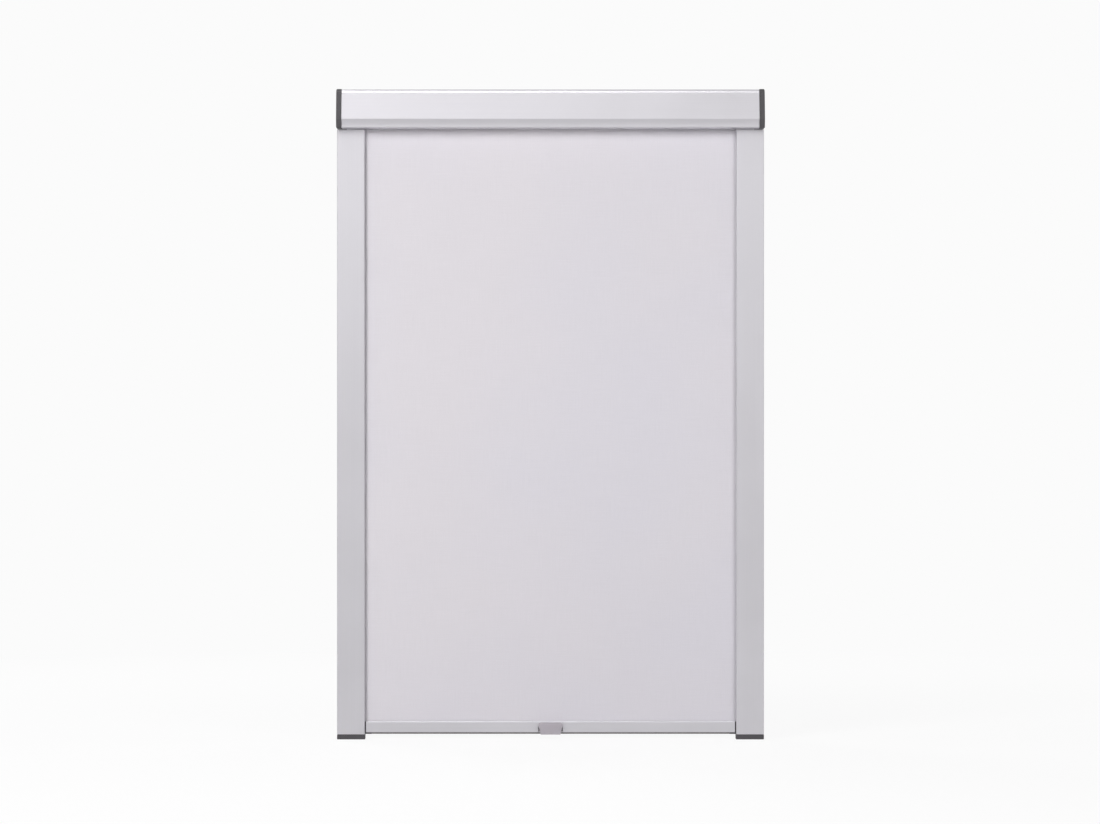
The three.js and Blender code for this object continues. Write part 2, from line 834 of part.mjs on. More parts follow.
// A wire wound in a helix along X, closed at both ends.
function torsionSpring() {
  const stepsPerTurn = 8;
  const wireSides = 5;
  const steps = motor.coilTurns * stepsPerTurn;
  const points = [];
  for (let i = 0; i <= steps; i += 1) {
    const angle = (2 * Math.PI * i) / stepsPerTurn;
    const x = coilStart - (motor.coilPitch * i) / stepsPerTurn;
    for (let k = 0; k < wireSides; k += 1) {
      const turn = (2 * Math.PI * k) / wireSides;
      const radius = motor.coilRadius + motor.wireRadius * Math.cos(turn);
      points.push(x + motor.wireRadius * Math.sin(turn), radius * Math.cos(angle), radius * Math.sin(angle));
    }
  }
  const faces = [];
  for (let i = 0; i < steps; i += 1) {
    for (let k = 0; k < wireSides; k += 1) {
      const a = i * wireSides + k;
      const b = i * wireSides + ((k + 1) % wireSides);
      faces.push(a, a + wireSides, b, b, a + wireSides, b + wireSides);
    }
  }
  const last = steps * wireSides;
  for (let k = 1; k < wireSides - 1; k += 1) {
    faces.push(0, k, k + 1, last, last + k + 1, last + k);
  }
  const position = new THREE.Float32BufferAttribute(points, 3);
  return new THREE.BufferGeometry().setAttribute("position", position).setIndex(faces);
}

const springSide = sideGroup(headboxGroup, sides[0]);
const idleSide = sideGroup(headboxGroup, sides[1]);
const atAxis = (mesh) => mesh.position.set(0, -roller.axisDepth, roller.axisHeight);

piece(headboxGroup, "roller_tube", rollerTube(), millAluminium);
piece(
  headboxGroup,
  "tube_keder",
  pin(roller.grooveRadius - clearance.seat, -tubeHalf, tubeHalf, roller.axisDepth, grooveHeight),
  whitePlastic,
);
piece(springSide, "spring_end_plug", endPlug(motor.rodRadius), whitePlastic);
piece(springSide, "drive_plug", drivePlug(), whitePlastic);
atAxis(piece(springSide, "spring_rod", springRod(), zincSteel));
atAxis(piece(springSide, "spring_anchor", springAnchor(), whitePlastic));
atAxis(piece(springSide, "torsion_spring", torsionSpring(), springSteel));
atAxis(
  piece(
    springSide,
    "rod_retainer",
    flangedSleeve(
      motor.rodRadius + clearance.seat,
      motor.rodRadius + clearance.seat + motor.retainerWall,
      motor.retainerRadius,
      retainerOuter - motor.retainerSpace,
      retainerOuter - motor.retainerWall,
      retainerOuter,
    ),
    springSteel,
  ),
);
piece(idleSide, "idle_end_plug", endPlug(idle.pinRadius, idle.reach + idle.endPlay), whitePlastic);
atAxis(
  piece(
    idleSide,
    "idle_pin",
    pin(idle.pinRadius, rodOuter - idle.reach, half - cap.skin - clearance.seat, 0, 0),
    zincSteel,
  ),
);

// Fabric: what is left on the roller, and the panel down to the bar.

function fabricRoll() {
  const steps = Math.ceil((fabric.wraps * 2 * Math.PI) / arcStep);
  const line = Array.from({ length: steps + 1 }, (_, i) => {
    const turn = (fabric.wraps * i) / steps;
    const radius = leaveRadius - fabric.wrapPitch * turn;
    const angle = Math.PI - 2 * Math.PI * turn;
    return new THREE.Vector2(axis[0] + radius * Math.cos(angle), axis[1] + radius * Math.sin(angle));
  });
  return across(wallAlong(line, fabric.thickness), -fabricHalf, fabricHalf);
}

// The panel in the blind's own frame, with its side margins cut back over the bar's ends.
function fabricPanel() {
  const leaveHeight = headboxBottom + roller.axisHeight - clearance.seat;
  const barTop = feetBottom + barBottom + bar.height;
  const hem = barTop - bar.topRadius + clearance.seat;
  const line = rounded([
    [leaveDepth, leaveHeight],
    [fabricDepth, headboxBottom - fabric.bendHeight, fabric.bendRadius],
    [fabricDepth, hem],
  ]);
  const sheet = across(wallAlong(line, fabric.thickness), -fabricHalf, fabricHalf);
  const notches = [-1, 1].map((sign) => {
    const inner = sign * (barHalf - clearance.seat);
    const outer = sign * (fabricHalf + overrun);
    const span = [Math.min(inner, outer), Math.max(inner, outer)];
    return block(span, [0, rail.depth], [hem - overrun, barTop + clearance.seat]);
  });
  return cut(sheet, ...notches);
}

piece(headboxGroup, "fabric_roll", fabricRoll(), blackoutCloth);
piece(assembly, "fabric_panel", fabricPanel(), blackoutCloth);

// Side rails: a hollow at the outer side, a channel with lips for the glides, and a flange behind the
// fabric.

const railOuter = half;
const railInner = half - rail.width;
const flangeInner = railInner - rail.flange;
const dividerOuter = railOuter - rail.wall - rail.chamber;
const dividerInner = dividerOuter - rail.wall;
const lipFace = railInner + rail.wall;
const mouthFront = fabricDepth + rail.mouth / 2;
const mouthRear = fabricDepth - rail.mouth / 2;
const footPort = {
  depth: rail.wall + port.radius - port.sunk,
  x: (dividerOuter + railOuter - rail.wall) / 2,
};

function sideRail() {
  const frontInside = rail.depth - rail.wall;
  const section = new THREE.Shape(
    rounded(
      [
        [railOuter, 0, rail.outerRadius],
        [railOuter, rail.depth, rail.outerRadius],
        [railInner, rail.depth, rail.lipRadius],
        [railInner, mouthFront],
        [lipFace, mouthFront],
        [lipFace, frontInside],
        [dividerInner, frontInside],
        [dividerInner, rail.wall],
        [lipFace, rail.wall],
        [lipFace, mouthRear],
        [railInner, mouthRear],
        [railInner, rail.wall],
        [flangeInner, rail.wall],
        [flangeInner, 0],
      ],
      true,
    ),
  );
  const hollow = rectangle(dividerOuter, railOuter - rail.wall, rail.wall, frontInside);
  const screwPort = portSection({ depth: footPort.x, height: footPort.depth, faces: 90 });
  const length = [railBottom, railTop];
  const holeHeights = [railBottom + rail.holeFromEnd, (railBottom + railTop) / 2, railTop - rail.holeFromEnd];
  const holeX = (flangeInner + railInner) / 2;
  const holes = holeHeights.flatMap((height) => [
    drill(rail.holeRadius, rail.holeRadius, holeX, [-overrun, rail.wall + overrun], height),
    drill(rail.holeRadius, rail.sinkRadius, holeX, [0, rail.wall], height),
  ]);
  const profile = cut(upright(section, ...length), upright(hollow, railBottom - overrun, railTop + overrun));
  return cut(join(profile, upright(screwPort, ...length)), ...holes);
}

// A foot closes the rail's lower end and stops the glide; its plug fills the hollow round the screw
// groove.
function railFoot() {
  const plate = upright(
    new THREE.Shape(
      rounded(
        [
          [railOuter, 0, rail.outerRadius],
          [railOuter, rail.depth + foot.proud, rail.outerRadius],
          [railInner - foot.proud, rail.depth + foot.proud, rail.outerRadius],
          [railInner - foot.proud, 0, rail.outerRadius],
        ],
        true,
      ),
    ),
    foot.edgeRadius,
    foot.thickness - foot.edgeRadius,
    {
      bevelEnabled: true,
      bevelSize: foot.edgeRadius,
      bevelThickness: foot.edgeRadius,
      bevelOffset: -foot.edgeRadius,
      bevelSegments: 2,
    },
  );
  const plugX = [dividerOuter + clearance.seat, railOuter - rail.wall - clearance.seat];
  const plugDepth = [rail.wall + clearance.seat, rail.depth - rail.wall - clearance.seat];
  const plug = block(plugX, plugDepth, [foot.edgeRadius, foot.thickness + foot.plugLength]);
  const plugTop = foot.thickness + foot.plugLength + overrun;
  const aroundPort = verticalPin(port.radius + clearance.seat, foot.thickness, plugTop);
  const way = verticalPin(screw.coreRadius + clearance.seat, -overrun, foot.thickness + overrun);
  return cut(join(plate, cut(plug, aroundPort)), way, footSink());
}

const verticalPin = (radius, from, to) =>
  new THREE.CylinderGeometry(radius, radius, to - from, plainSides)
    .rotateX(Math.PI / 2)
    .translate(footPort.x, -footPort.depth, (from + to) / 2);

// The room for the foot screw's head in the underside.
function footSink() {
  const wide = screw.headRadius + clearance.seat;
  const narrow = screw.coreRadius + clearance.seat;
  const top = screw.headHeight + clearance.seat;
  const profile = [
    [0, -overrun],
    [wide, -overrun],
    [wide, clearance.seat],
    [narrow, top],
    [0, top],
  ].map(([radius, height]) => new THREE.Vector2(radius, height));
  return new THREE.LatheGeometry(profile, plainSides)
    .rotateX(Math.PI / 2)
    .translate(footPort.x, -footPort.depth, 0);
}

for (const side of sides) {
  const group = sideGroup(railsGroup, side);
  piece(group, `rail_${side.name}`, sideRail(), silverAluminium);
  piece(group, `rail_foot_${side.name}`, railFoot(), darkPlastic);
  const footScrew = piece(group, `foot_screw_${side.name}`, tappingScrew(0), zincSteel);
  footScrew.rotation.y = Math.PI / 2;
  footScrew.position.set(footPort.x, -footPort.depth, 0);
}

// Bottom bar: a profile that grips the fabric, a rubber lip under it, a glide at each end and the grip.

const barRear = fabricDepth - bar.depth / 2;
const barFront = fabricDepth + bar.depth / 2;
const kederHeight = bar.height - bar.topRadius - bar.kederRadius;
const hollowTop = bar.hollowFloor + bar.hollowHeight;
const pegHeight = bar.hollowFloor + bar.hollowHeight / 2;

function barProfile() {
  const outline = new THREE.Shape(
    rounded(
      [
        [barRear, 0, bar.bottomRadius],
        [barFront, 0, bar.bottomRadius],
        [barFront, bar.height, bar.topRadius],
        [barRear, bar.height, bar.topRadius],
      ],
      true,
    ),
  );
  const ends = [-barHalf, barHalf];
  const past = [-barHalf - overrun, barHalf + overrun];
  const hollow = rectangle(barRear + bar.wall, barFront - bar.wall, bar.hollowFloor, hollowTop);
  const slotSides = [fabricDepth - bar.slot / 2, fabricDepth + bar.slot / 2];
  const slot = rectangle(...slotSides, kederHeight, bar.height + overrun);
  const groove = rectangle(
    fabricDepth - bar.grooveWidth / 2,
    fabricDepth + bar.grooveWidth / 2,
    bar.wall,
    bar.wall + bar.grooveHeight,
  );
  const grooveMouth = rectangle(
    fabricDepth - bar.grooveMouth / 2,
    fabricDepth + bar.grooveMouth / 2,
    -overrun,
    bar.wall + bar.grooveHeight / 2,
  );
  const tools = [hollow, slot, groove, grooveMouth].map((section) => across(section, ...past));
  const kederBore = pin(bar.kederRadius + clearance.seat, ...past, fabricDepth, kederHeight);
  const pegHole = grip.pegRadius + clearance.seat;
  const throughWall = [barFront - bar.wall - overrun, barFront + overrun];
  const pegHoles = pegPlaces.map((x) => drill(pegHole, pegHole, x, throughWall, pegHeight));
  return cut(across(outline, ...ends), ...tools, kederBore, ...pegHoles);
}

const pegPlaces = [-grip.pegSpacing / 2, grip.pegSpacing / 2];

function barSeal() {
  const s = clearance.seat;
  const root = bar.grooveMouth / 2 - s;
  const section = new THREE.Shape(
    [
      [-bar.grooveWidth / 2 + s, bar.wall + s],
      [-root, bar.wall + s],
      [-root, 0],
      [-seal.lipWidth / 2, -seal.lip],
      [seal.lipWidth / 2, -seal.lip],
      [root, 0],
      [root, bar.wall + s],
      [bar.grooveWidth / 2 - s, bar.wall + s],
      [bar.grooveWidth / 2 - s, bar.wall + bar.grooveHeight - s],
      [-bar.grooveWidth / 2 + s, bar.wall + bar.grooveHeight - s],
    ].map(([off, height]) => new THREE.Vector2(fabricDepth + off, height)),
  );
  const end = barHalf - glide.toe - clearance.seat;
  return across(section, -end, end);
}

// A glide: a tongue in the bar and a toe under it, a neck through the rail's mouth and a head in its
// channel.
const headInner = lipFace + clearance.run;
const headOuter = dividerInner - glide.endPlay;
const headRear = rail.wall + clearance.run;
const headFront = rail.depth - rail.wall - clearance.run;
const headBottom = -seal.lip - seal.clear + clearance.seat;
const headTop = bar.height - glide.neckTop;
const headMiddle = (headInner + headOuter) / 2;
const headMid = (headBottom + headTop) / 2;
const padLength = headOuter - headInner - 2 * glide.padMargin;
const leafLength = headOuter - headInner - 2 * glide.springMargin;

function barGlide() {
  const neck = rail.mouth / 2 - clearance.run;
  const tongueDepth = [barRear + bar.wall + clearance.seat, barFront - bar.wall - clearance.seat];
  const tongueHeight = [bar.hollowFloor + clearance.seat, hollowTop - clearance.seat];
  const tongueInner = barHalf - glide.tongueLength;
  const corners = [
    [headInner, headBottom, glide.cornerRadius],
    [headOuter, headBottom, glide.cornerRadius],
    [headOuter, headTop, glide.cornerRadius],
    [headInner, headTop, glide.cornerRadius],
  ];
  const head = new THREE.ExtrudeGeometry(new THREE.Shape(rounded(corners, true)), {
    depth: headFront - headRear,
    bevelEnabled: false,
  })
    .rotateX(Math.PI / 2)
    .translate(0, -headRear, 0);
  const body = join(
    head,
    block(
      [barHalf + clearance.seat, headInner + overrun],
      [fabricDepth - neck, fabricDepth + neck],
      [-seal.lip, headTop],
    ),
    block(
      [barHalf - glide.toe, headInner],
      [fabricDepth - bar.grooveWidth / 2, fabricDepth + neck],
      [-seal.lip, -clearance.seat],
    ),
    block([tongueInner, barHalf + 2 * clearance.seat], tongueDepth, tongueHeight),
  );
  const padPocket = block(
    around(headMiddle, padLength, clearance.seat),
    [headRear - overrun, headRear + glide.padThickness - glide.padProud + clearance.seat],
    around(headMid, glide.padHeight, clearance.seat),
  );
  const springPocket = block(
    around(headMiddle, leafLength, clearance.seat),
    [headFront - glide.springPocket, headFront + overrun],
    around(headMid, glide.springHeight, clearance.seat),
  );
  const lightening = drill(
    glide.tongueHole,
    glide.tongueHole,
    tongueInner + glide.tongueLength / 2,
    [barRear, barFront],
    pegHeight,
  );
  return cut(body, padPocket, springPocket, lightening);
}

const brakePad = () =>
  block(
    around(headMiddle, padLength),
    [headRear - glide.padProud, headRear + glide.padThickness - glide.padProud],
    around(headMid, glide.padHeight),
  );

// A bowed leaf that presses the glide's other face on to the rail.
function brakeSpring() {
  const seatDepth = headFront - glide.springPocket + clearance.seat + glide.springWall / 2;
  const crown = rail.depth - rail.wall - clearance.seat - glide.springWall / 2;
  const [inner, outer] = around(headMiddle, leafLength);
  const bowSteps = 8;
  const from = [outer, seatDepth];
  const to = [inner, seatDepth];
  const line = rounded([from, ...arcCorners(from, to, crown - seatDepth, bowSteps), to]);
  return upright(wallAlong(line, glide.springWall), ...around(headMid, glide.springHeight));
}

// The grip: a cup that is open underneath for the fingertips, held by two pegs in the bar's front wall.
function fingerGrip() {
  const rear = barFront + clearance.seat;
  const top = bar.height - grip.fromTop;
  const bottom = -seal.lip;
  const front = barFront + grip.reach;
  // The cup's outline as a solid, made smaller by an inset on every side but the bottom.
  const cup = (inset, below) => {
    const radius = grip.radius - inset / 2;
    const side = rounded(
      [
        [rear + inset, bottom - below],
        [front - grip.undercut - inset, bottom - below],
        [front - inset, top - inset, radius],
        [rear + inset, top - inset],
      ],
      true,
    );
    const face = rounded(
      [
        [-grip.lowerWidth / 2 + inset, bottom - below],
        [grip.lowerWidth / 2 - inset, bottom - below],
        [grip.width / 2 - inset, top - inset, radius],
        [-grip.width / 2 + inset, top - inset, radius],
      ],
      true,
    );
    const slab = new THREE.ExtrudeGeometry(new THREE.Shape(face), { depth: front, bevelEnabled: false });
    return common(across(new THREE.Shape(side), -grip.width, grip.width), slab.rotateX(Math.PI / 2));
  };
  const pegs = pegPlaces.map((x) =>
    drill(grip.pegRadius, grip.pegRadius, x, [rear - grip.pegLength, rear + grip.wall / 2], pegHeight),
  );
  return join(cut(cup(0, 0), cup(grip.wall, overrun)), ...pegs);
}

piece(barGroup, "bar_profile", barProfile(), silverAluminium);
piece(
  barGroup,
  "bar_keder",
  pin(bar.kederRadius, -barHalf, barHalf, fabricDepth, kederHeight),
  whitePlastic,
);
piece(barGroup, "bar_seal", barSeal(), darkRubber);
piece(barGroup, "finger_grip", fingerGrip(), greyPlastic);
for (const side of sides) {
  const group = sideGroup(barGroup, side);
  piece(group, `glide_${side.name}`, barGlide(), darkPlastic);
  piece(group, `brake_pad_${side.name}`, brakePad(), greyPile);
  piece(group, `brake_spring_${side.name}`, brakeSpring(), springSteel);
}

export default assembly;
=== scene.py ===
"""Look model of a roller blind for a roof window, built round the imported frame.

Metres in Blender; +X runs across the window, +Y away from the room and +Z up. The sizes in the classes
below are in millimetres, as on a maker's drawing. A depth is measured from the sash plane, y = 0,
towards the room, and a height from the lower edge of the sub-assembly that the class builds.
"""

import json
import logging
import math
from collections.abc import Iterable, Sequence
from dataclasses import dataclass
from enum import Enum
from typing import Any

import bmesh
import bpy
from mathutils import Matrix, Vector
from mathutils.geometry import tessellate_polygon

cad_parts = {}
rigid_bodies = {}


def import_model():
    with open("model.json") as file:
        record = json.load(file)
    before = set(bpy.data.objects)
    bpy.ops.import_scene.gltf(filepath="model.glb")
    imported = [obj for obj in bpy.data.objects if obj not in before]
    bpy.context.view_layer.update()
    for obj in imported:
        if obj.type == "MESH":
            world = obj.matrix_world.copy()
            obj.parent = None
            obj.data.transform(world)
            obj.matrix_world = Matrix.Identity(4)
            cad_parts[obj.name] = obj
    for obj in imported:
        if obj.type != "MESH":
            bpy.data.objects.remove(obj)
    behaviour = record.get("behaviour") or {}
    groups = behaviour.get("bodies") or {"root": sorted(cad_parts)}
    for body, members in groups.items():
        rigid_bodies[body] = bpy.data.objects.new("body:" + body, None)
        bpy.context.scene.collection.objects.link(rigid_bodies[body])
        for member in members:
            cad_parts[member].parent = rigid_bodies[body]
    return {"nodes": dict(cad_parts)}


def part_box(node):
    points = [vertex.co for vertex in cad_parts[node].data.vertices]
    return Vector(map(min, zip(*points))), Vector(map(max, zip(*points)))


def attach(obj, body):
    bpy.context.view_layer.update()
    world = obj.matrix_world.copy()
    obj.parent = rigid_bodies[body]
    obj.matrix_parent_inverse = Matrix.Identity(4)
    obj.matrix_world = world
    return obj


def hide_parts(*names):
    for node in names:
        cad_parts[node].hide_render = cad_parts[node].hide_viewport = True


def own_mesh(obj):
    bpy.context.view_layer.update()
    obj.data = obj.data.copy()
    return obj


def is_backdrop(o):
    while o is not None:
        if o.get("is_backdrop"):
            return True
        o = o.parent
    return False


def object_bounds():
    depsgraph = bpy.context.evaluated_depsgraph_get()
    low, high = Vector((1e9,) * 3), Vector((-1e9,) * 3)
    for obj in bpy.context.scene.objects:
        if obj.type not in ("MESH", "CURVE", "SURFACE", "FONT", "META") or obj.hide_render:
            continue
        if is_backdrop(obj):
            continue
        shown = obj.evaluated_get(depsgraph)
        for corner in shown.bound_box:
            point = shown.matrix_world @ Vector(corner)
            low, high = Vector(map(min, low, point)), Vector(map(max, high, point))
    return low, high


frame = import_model()

MM = 0.001
FINE_STEP = math.radians(6)  # between two points of an arc
SHARP_ANGLE = math.radians(30)  # edges above this stay sharp
WELD = 1e-6
OVERRUN = 2.0  # of a cutting tool past the face that it cuts
NOISE = (0.3, 0.7)  # where the values of a noise mostly lie
SLUB = (0.7, 1.3)  # and those of two noises added

Outline = list[Vector]
Span = tuple[float, float]


# Outlines: points in millimetres, in the two coordinates of a section.


def rounded(corners: Sequence[Sequence[float]], closed: bool = True, step: float = FINE_STEP) -> Outline:
    """Draws a line through corners, with an arc at each one that has a radius.

    Args:
        corners: (first, second) or (first, second, radius) of each corner.
        closed: whether the line joins its own start.
        step: the greatest turn between two points of an arc.

    Returns:
        The points of the line.
    """
    count = len(corners)
    points: Outline = []
    for i, corner in enumerate(corners):
        here = Vector(corner[:2])
        radius = corner[2] if len(corner) > 2 else 0.0
        if not radius or (not closed and i in (0, count - 1)):
            points.append(here)
            continue
        to_last = (Vector(corners[i - 1][:2]) - here).normalized()
        to_next = (Vector(corners[(i + 1) % count][:2]) - here).normalized()
        half = math.acos(max(-1.0, min(1.0, to_last.dot(to_next)))) / 2
        centre = here + (to_last + to_next).normalized() * (radius / math.sin(half))
        start = here + to_last * (radius / math.tan(half)) - centre
        first = math.atan2(start.y, start.x)
        turn = to_next.x * to_last.y - to_next.y * to_last.x
        sweep = math.copysign(math.pi - 2 * half, turn)
        steps = max(1, math.ceil(abs(sweep) / step))
        for k in range(steps + 1):
            angle = first + sweep * k / steps
            points.append(centre + Vector((math.cos(angle), math.sin(angle))) * radius)
    return points


def sagging(start: Span, end: Span, sag: float, steps: int) -> list[Span]:
    """Gives the points of a circular arc between two points, bowed to the right.

    Args:
        start: the first point, which isn't given.
        end: the last point, which isn't given.
        sag: how far the arc's middle lies off the straight line.
        steps: how many parts the arc has.

    Returns:
        The points between the two.
    """
    (x0, y0), (x1, y1) = start, end
    chord = math.hypot(x1 - x0, y1 - y0)
    radius = chord * chord / (8 * sag) + sag / 2
    half = math.asin(chord / 2 / radius)
    along = ((x1 - x0) / chord, (y1 - y0) / chord)
    points = []
    for i in range(1, steps):
        angle = half * (2 * i / steps - 1)
        run = chord / 2 + radius * math.sin(angle)
        off = radius * math.cos(angle) - (radius - sag)
        points.append((x0 + along[0] * run + along[1] * off, y0 + along[1] * run - along[0] * off))
    return points


def moved(line: Outline, distance: float, closed: bool = False) -> Outline:
    """Moves a line to its left, with mitred corners.

    Args:
        line: the points of the line.
        distance: how far it moves; a negative one goes to the right.
        closed: whether the line joins its own start.

    Returns:
        The points of the moved line.
    """
    count = len(line)
    result: Outline = []
    for i, point in enumerate(line):
        before = line[i - 1] if closed or i else None
        after = line[(i + 1) % count] if closed or i < count - 1 else None
        into = ((point - before) if before is not None else (after - point)).normalized()
        out = ((after - point) if after is not None else (point - before)).normalized()
        along = (into + out).normalized()
        reach = distance / along.dot(into)
        result.append(Vector((point.x - along.y * reach, point.y + along.x * reach)))
    return result


def strip(line: Outline, wall: float) -> Outline:
    """Outlines a wall of even thickness along a line, half of it on each side."""
    return moved(line, wall / 2) + moved(line, -wall / 2)[::-1]


def rectangle(first: Span, second: Span, radius: float = 0.0) -> Outline:
    """Outlines a rectangle between two places on each coordinate."""
    (x0, x1), (y0, y1) = first, second
    return rounded([(x0, y0, radius), (x1, y0, radius), (x1, y1, radius), (x0, y1, radius)])


def circle(centre: Span, radius: float, sides: int = 48) -> Outline:
    """Outlines a circle."""
    turns = (2 * math.pi * k / sides for k in range(sides))
    return [Vector((centre[0] + radius * math.cos(t), centre[1] + radius * math.sin(t))) for t in turns]


def c_groove(centre: Span, bore: float, radius: float, faces: float, mouth: float) -> Outline:
    """Outlines a C-shaped screw groove.

    Args:
        centre: its middle.
        bore: its inner radius.
        radius: its outer radius.
        faces: the way that its mouth faces, in degrees.
        mouth: how wide the mouth is, in degrees.

    Returns:
        The closed outline.
    """
    steps = 40
    start = math.radians(faces + mouth / 2)
    sweep = math.radians(360 - mouth)
    turns = [start + sweep * k / steps for k in range(steps + 1)]
    rays = [Vector((math.cos(t), math.sin(t))) for t in turns]
    middle = Vector(centre)
    return [middle + ray * radius for ray in rays] + [middle + ray * bore for ray in reversed(rays)]


def without_doubles(line: Outline) -> Outline:
    """Drops the points of a closed line that lie on the one before."""
    return [point for i, point in enumerate(line) if (point - line[i - 1]).length > 10 * WELD]


# Node trees.


class Wiring:
    """Adds nodes to one tree and wires their sockets."""

    def __init__(self, tree: bpy.types.NodeTree) -> None:
        """Works on the given tree."""
        self.tree = tree

    def add(self, kind: str, values: dict[Any, Any] | None = None, **settings: Any) -> bpy.types.Node:
        """Adds a node.

        Args:
            kind: the node's type.
            values: for sockets, by name or number, the value to set or the socket to link.
            settings: the node's own settings.

        Returns:
            The new node.
        """
        node = self.tree.nodes.new(kind)
        for name, value in settings.items():
            setattr(node, name, value)
        for key, value in (values or {}).items():
            if isinstance(value, bpy.types.NodeSocket):
                self.tree.links.new(value, node.inputs[key])
            else:
                node.inputs[key].default_value = value
        return node

    def math(self, operation: str, *values: Any) -> bpy.types.NodeSocket:
        """Adds a sum or another operation on numbers and returns its result."""
        return self.add("ShaderNodeMath", dict(enumerate(values)), operation=operation).outputs[0]

    def vector(self, x: Any = 0.0, y: Any = 0.0, z: Any = 0.0) -> bpy.types.NodeSocket:
        """Puts three numbers together as a vector."""
        return self.add("ShaderNodeCombineXYZ", {"X": x, "Y": y, "Z": z}).outputs[0]

    def spread(self, value: Any, source: Span, target: Span = (0.0, 1.0)) -> bpy.types.NodeSocket:
        """Maps a value from one range on to another and keeps it inside."""
        numbers = {1: source[0], 2: source[1], 3: target[0], 4: target[1]}
        return self.add("ShaderNodeMapRange", {0: value, **numbers}).outputs[0]


class Surface(Wiring):
    """The node tree of one material, ready for colour, roughness and bump."""

    def __init__(self, name: str) -> None:
        """Starts a material with a shader of its own.

        Args:
            name: the material's name.
        """
        self.material = bpy.data.materials.new(name)
        self.material.use_nodes = True
        super().__init__(self.material.node_tree)
        self.shader = self.tree.nodes["Principled BSDF"]
        self.place = self.add("ShaderNodeTexCoord").outputs["Object"]

    def set(self, **values: Any) -> None:
        """Sets or links sockets of the shader.

        Args:
            values: what goes to each socket, named with underscores for spaces.
        """
        for name, value in values.items():
            socket = self.shader.inputs[name.replace("_", " ")]
            if isinstance(value, bpy.types.NodeSocket):
                self.tree.links.new(value, socket)
            else:
                socket.default_value = value

    def stretched(self, scale: Sequence[float]) -> bpy.types.NodeSocket:
        """Gives the object's coordinates with a scale on each axis."""
        return self.add("ShaderNodeMapping", {"Vector": self.place, "Scale": scale}).outputs[0]

    def noise(self, where: bpy.types.NodeSocket, scale: float, detail: float = 2.0) -> bpy.types.NodeSocket:
        """Gives a soft random value from about 0.3 to 0.7."""
        values = {"Vector": where, "Scale": scale, "Detail": detail, "Roughness": 0.55}
        return self.add("ShaderNodeTexNoise", values).outputs["Fac"]

    def cells(self, where: bpy.types.NodeSocket, scale: float, output: str) -> bpy.types.NodeSocket:
        """Gives an output of a pattern of irregular cells."""
        return self.add("ShaderNodeTexVoronoi", {"Vector": where, "Scale": scale}).outputs[output]

    def mixed(self, share: Any, first: Any, second: Any, mode: str = "MIX") -> bpy.types.NodeSocket:
        """Mixes two colours."""
        values = {0: share, 6: first, 7: second}
        return self.add("ShaderNodeMix", values, data_type="RGBA", blend_type=mode).outputs[2]

    def toned(self, colour: Any, tone: bpy.types.NodeSocket) -> bpy.types.NodeSocket:
        """Makes a colour lighter or darker by a factor."""
        grey = self.add("ShaderNodeCombineColor", {0: tone, 1: tone, 2: tone}).outputs[0]
        return self.mixed(1.0, colour, grey, "MULTIPLY")

    def edges(self, reach: float) -> bpy.types.NodeSocket:
        """Finds the outer edges of a piece.

        Args:
            reach: how far from an edge still counts, in metres.

        Returns:
            A value of 1 along the edges and 0 on open faces.
        """
        inside = {"inside": True, "only_local": True, "samples": 6}
        shade = self.add("ShaderNodeAmbientOcclusion", {"Distance": reach}, **inside).outputs["AO"]
        return self.spread(shade, (0.96, 0.55))

    def bump(self, height: Any, distance: float, below: Any = None) -> bpy.types.NodeSocket:
        """Turns a height into a normal.

        Args:
            height: a value whose change is the relief.
            distance: metres for a height of 1.
            below: a normal that this one is laid on.

        Returns:
            The normal.
        """
        values = {"Height": height, "Distance": distance, "Strength": 1.0}
        if below is not None:
            values["Normal"] = below
        return self.add("ShaderNodeBump", values).outputs[0]


class Recipe(Wiring):
    """A geometry node tree with named inputs, kept under its name."""

    def __init__(self, name: str) -> None:
        """Starts a tree that takes a mesh.

        Args:
            name: the tree's name.
        """
        super().__init__(bpy.data.node_groups.new(name, "GeometryNodeTree"))
        self.tree.interface.new_socket("Geometry", in_out="INPUT", socket_type="NodeSocketGeometry")
        self.tree.interface.new_socket("Geometry", in_out="OUTPUT", socket_type="NodeSocketGeometry")
        self.source = self.tree.nodes.new("NodeGroupInput")

    def takes(self, name: str, kind: str = "Float") -> bpy.types.NodeSocket:
        """Adds a named input of a kind such as Float, Int, Vector, Object or Material."""
        self.tree.interface.new_socket(name, in_out="INPUT", socket_type=f"NodeSocket{kind}")
        return self.source.outputs[name]

    def facing(self, way: Any) -> bpy.types.NodeSocket:
        """Gives the rotation that turns the Z axis to a direction."""
        return self.add("FunctionNodeAlignRotationToVector", {"Vector": way}, axis="Z").outputs[0]

    def ends(self, geometry: bpy.types.NodeSocket) -> None:
        """Makes the result real and gives it the finish.

        Args:
            geometry: the tree's result.
        """
        real = self.add("GeometryNodeRealizeInstances", {"Geometry": geometry})
        finish = self.takes("Finish", "Material")
        done = self.add("GeometryNodeSetMaterial", {"Geometry": real.outputs[0], "Material": finish})
        last = self.tree.nodes.new("NodeGroupOutput")
        self.tree.links.new(done.outputs[0], last.inputs["Geometry"])


# Meshes.


class Run(Enum):
    """The direction that a section is carried in, with the axes of its two coordinates."""

    ACROSS = (Vector((0, -1, 0)), Vector((0, 0, 1)), Vector((1, 0, 0)))  # (depth, height), along X
    UP = (Vector((1, 0, 0)), Vector((0, -1, 0)), Vector((0, 0, 1)))  # (x, depth), along Z
    OUT = (Vector((1, 0, 0)), Vector((0, 0, 1)), Vector((0, -1, 0)))  # (x, height), along the depth

    def at(self, point: Vector, along: float, height: float = 0.0) -> Vector:
        """Places a section's point, in metres, at a distance along the run and a height above zero."""
        first, second, third = self.value
        return (first * point.x + second * point.y + third * along + Vector((0, 0, height))) * MM


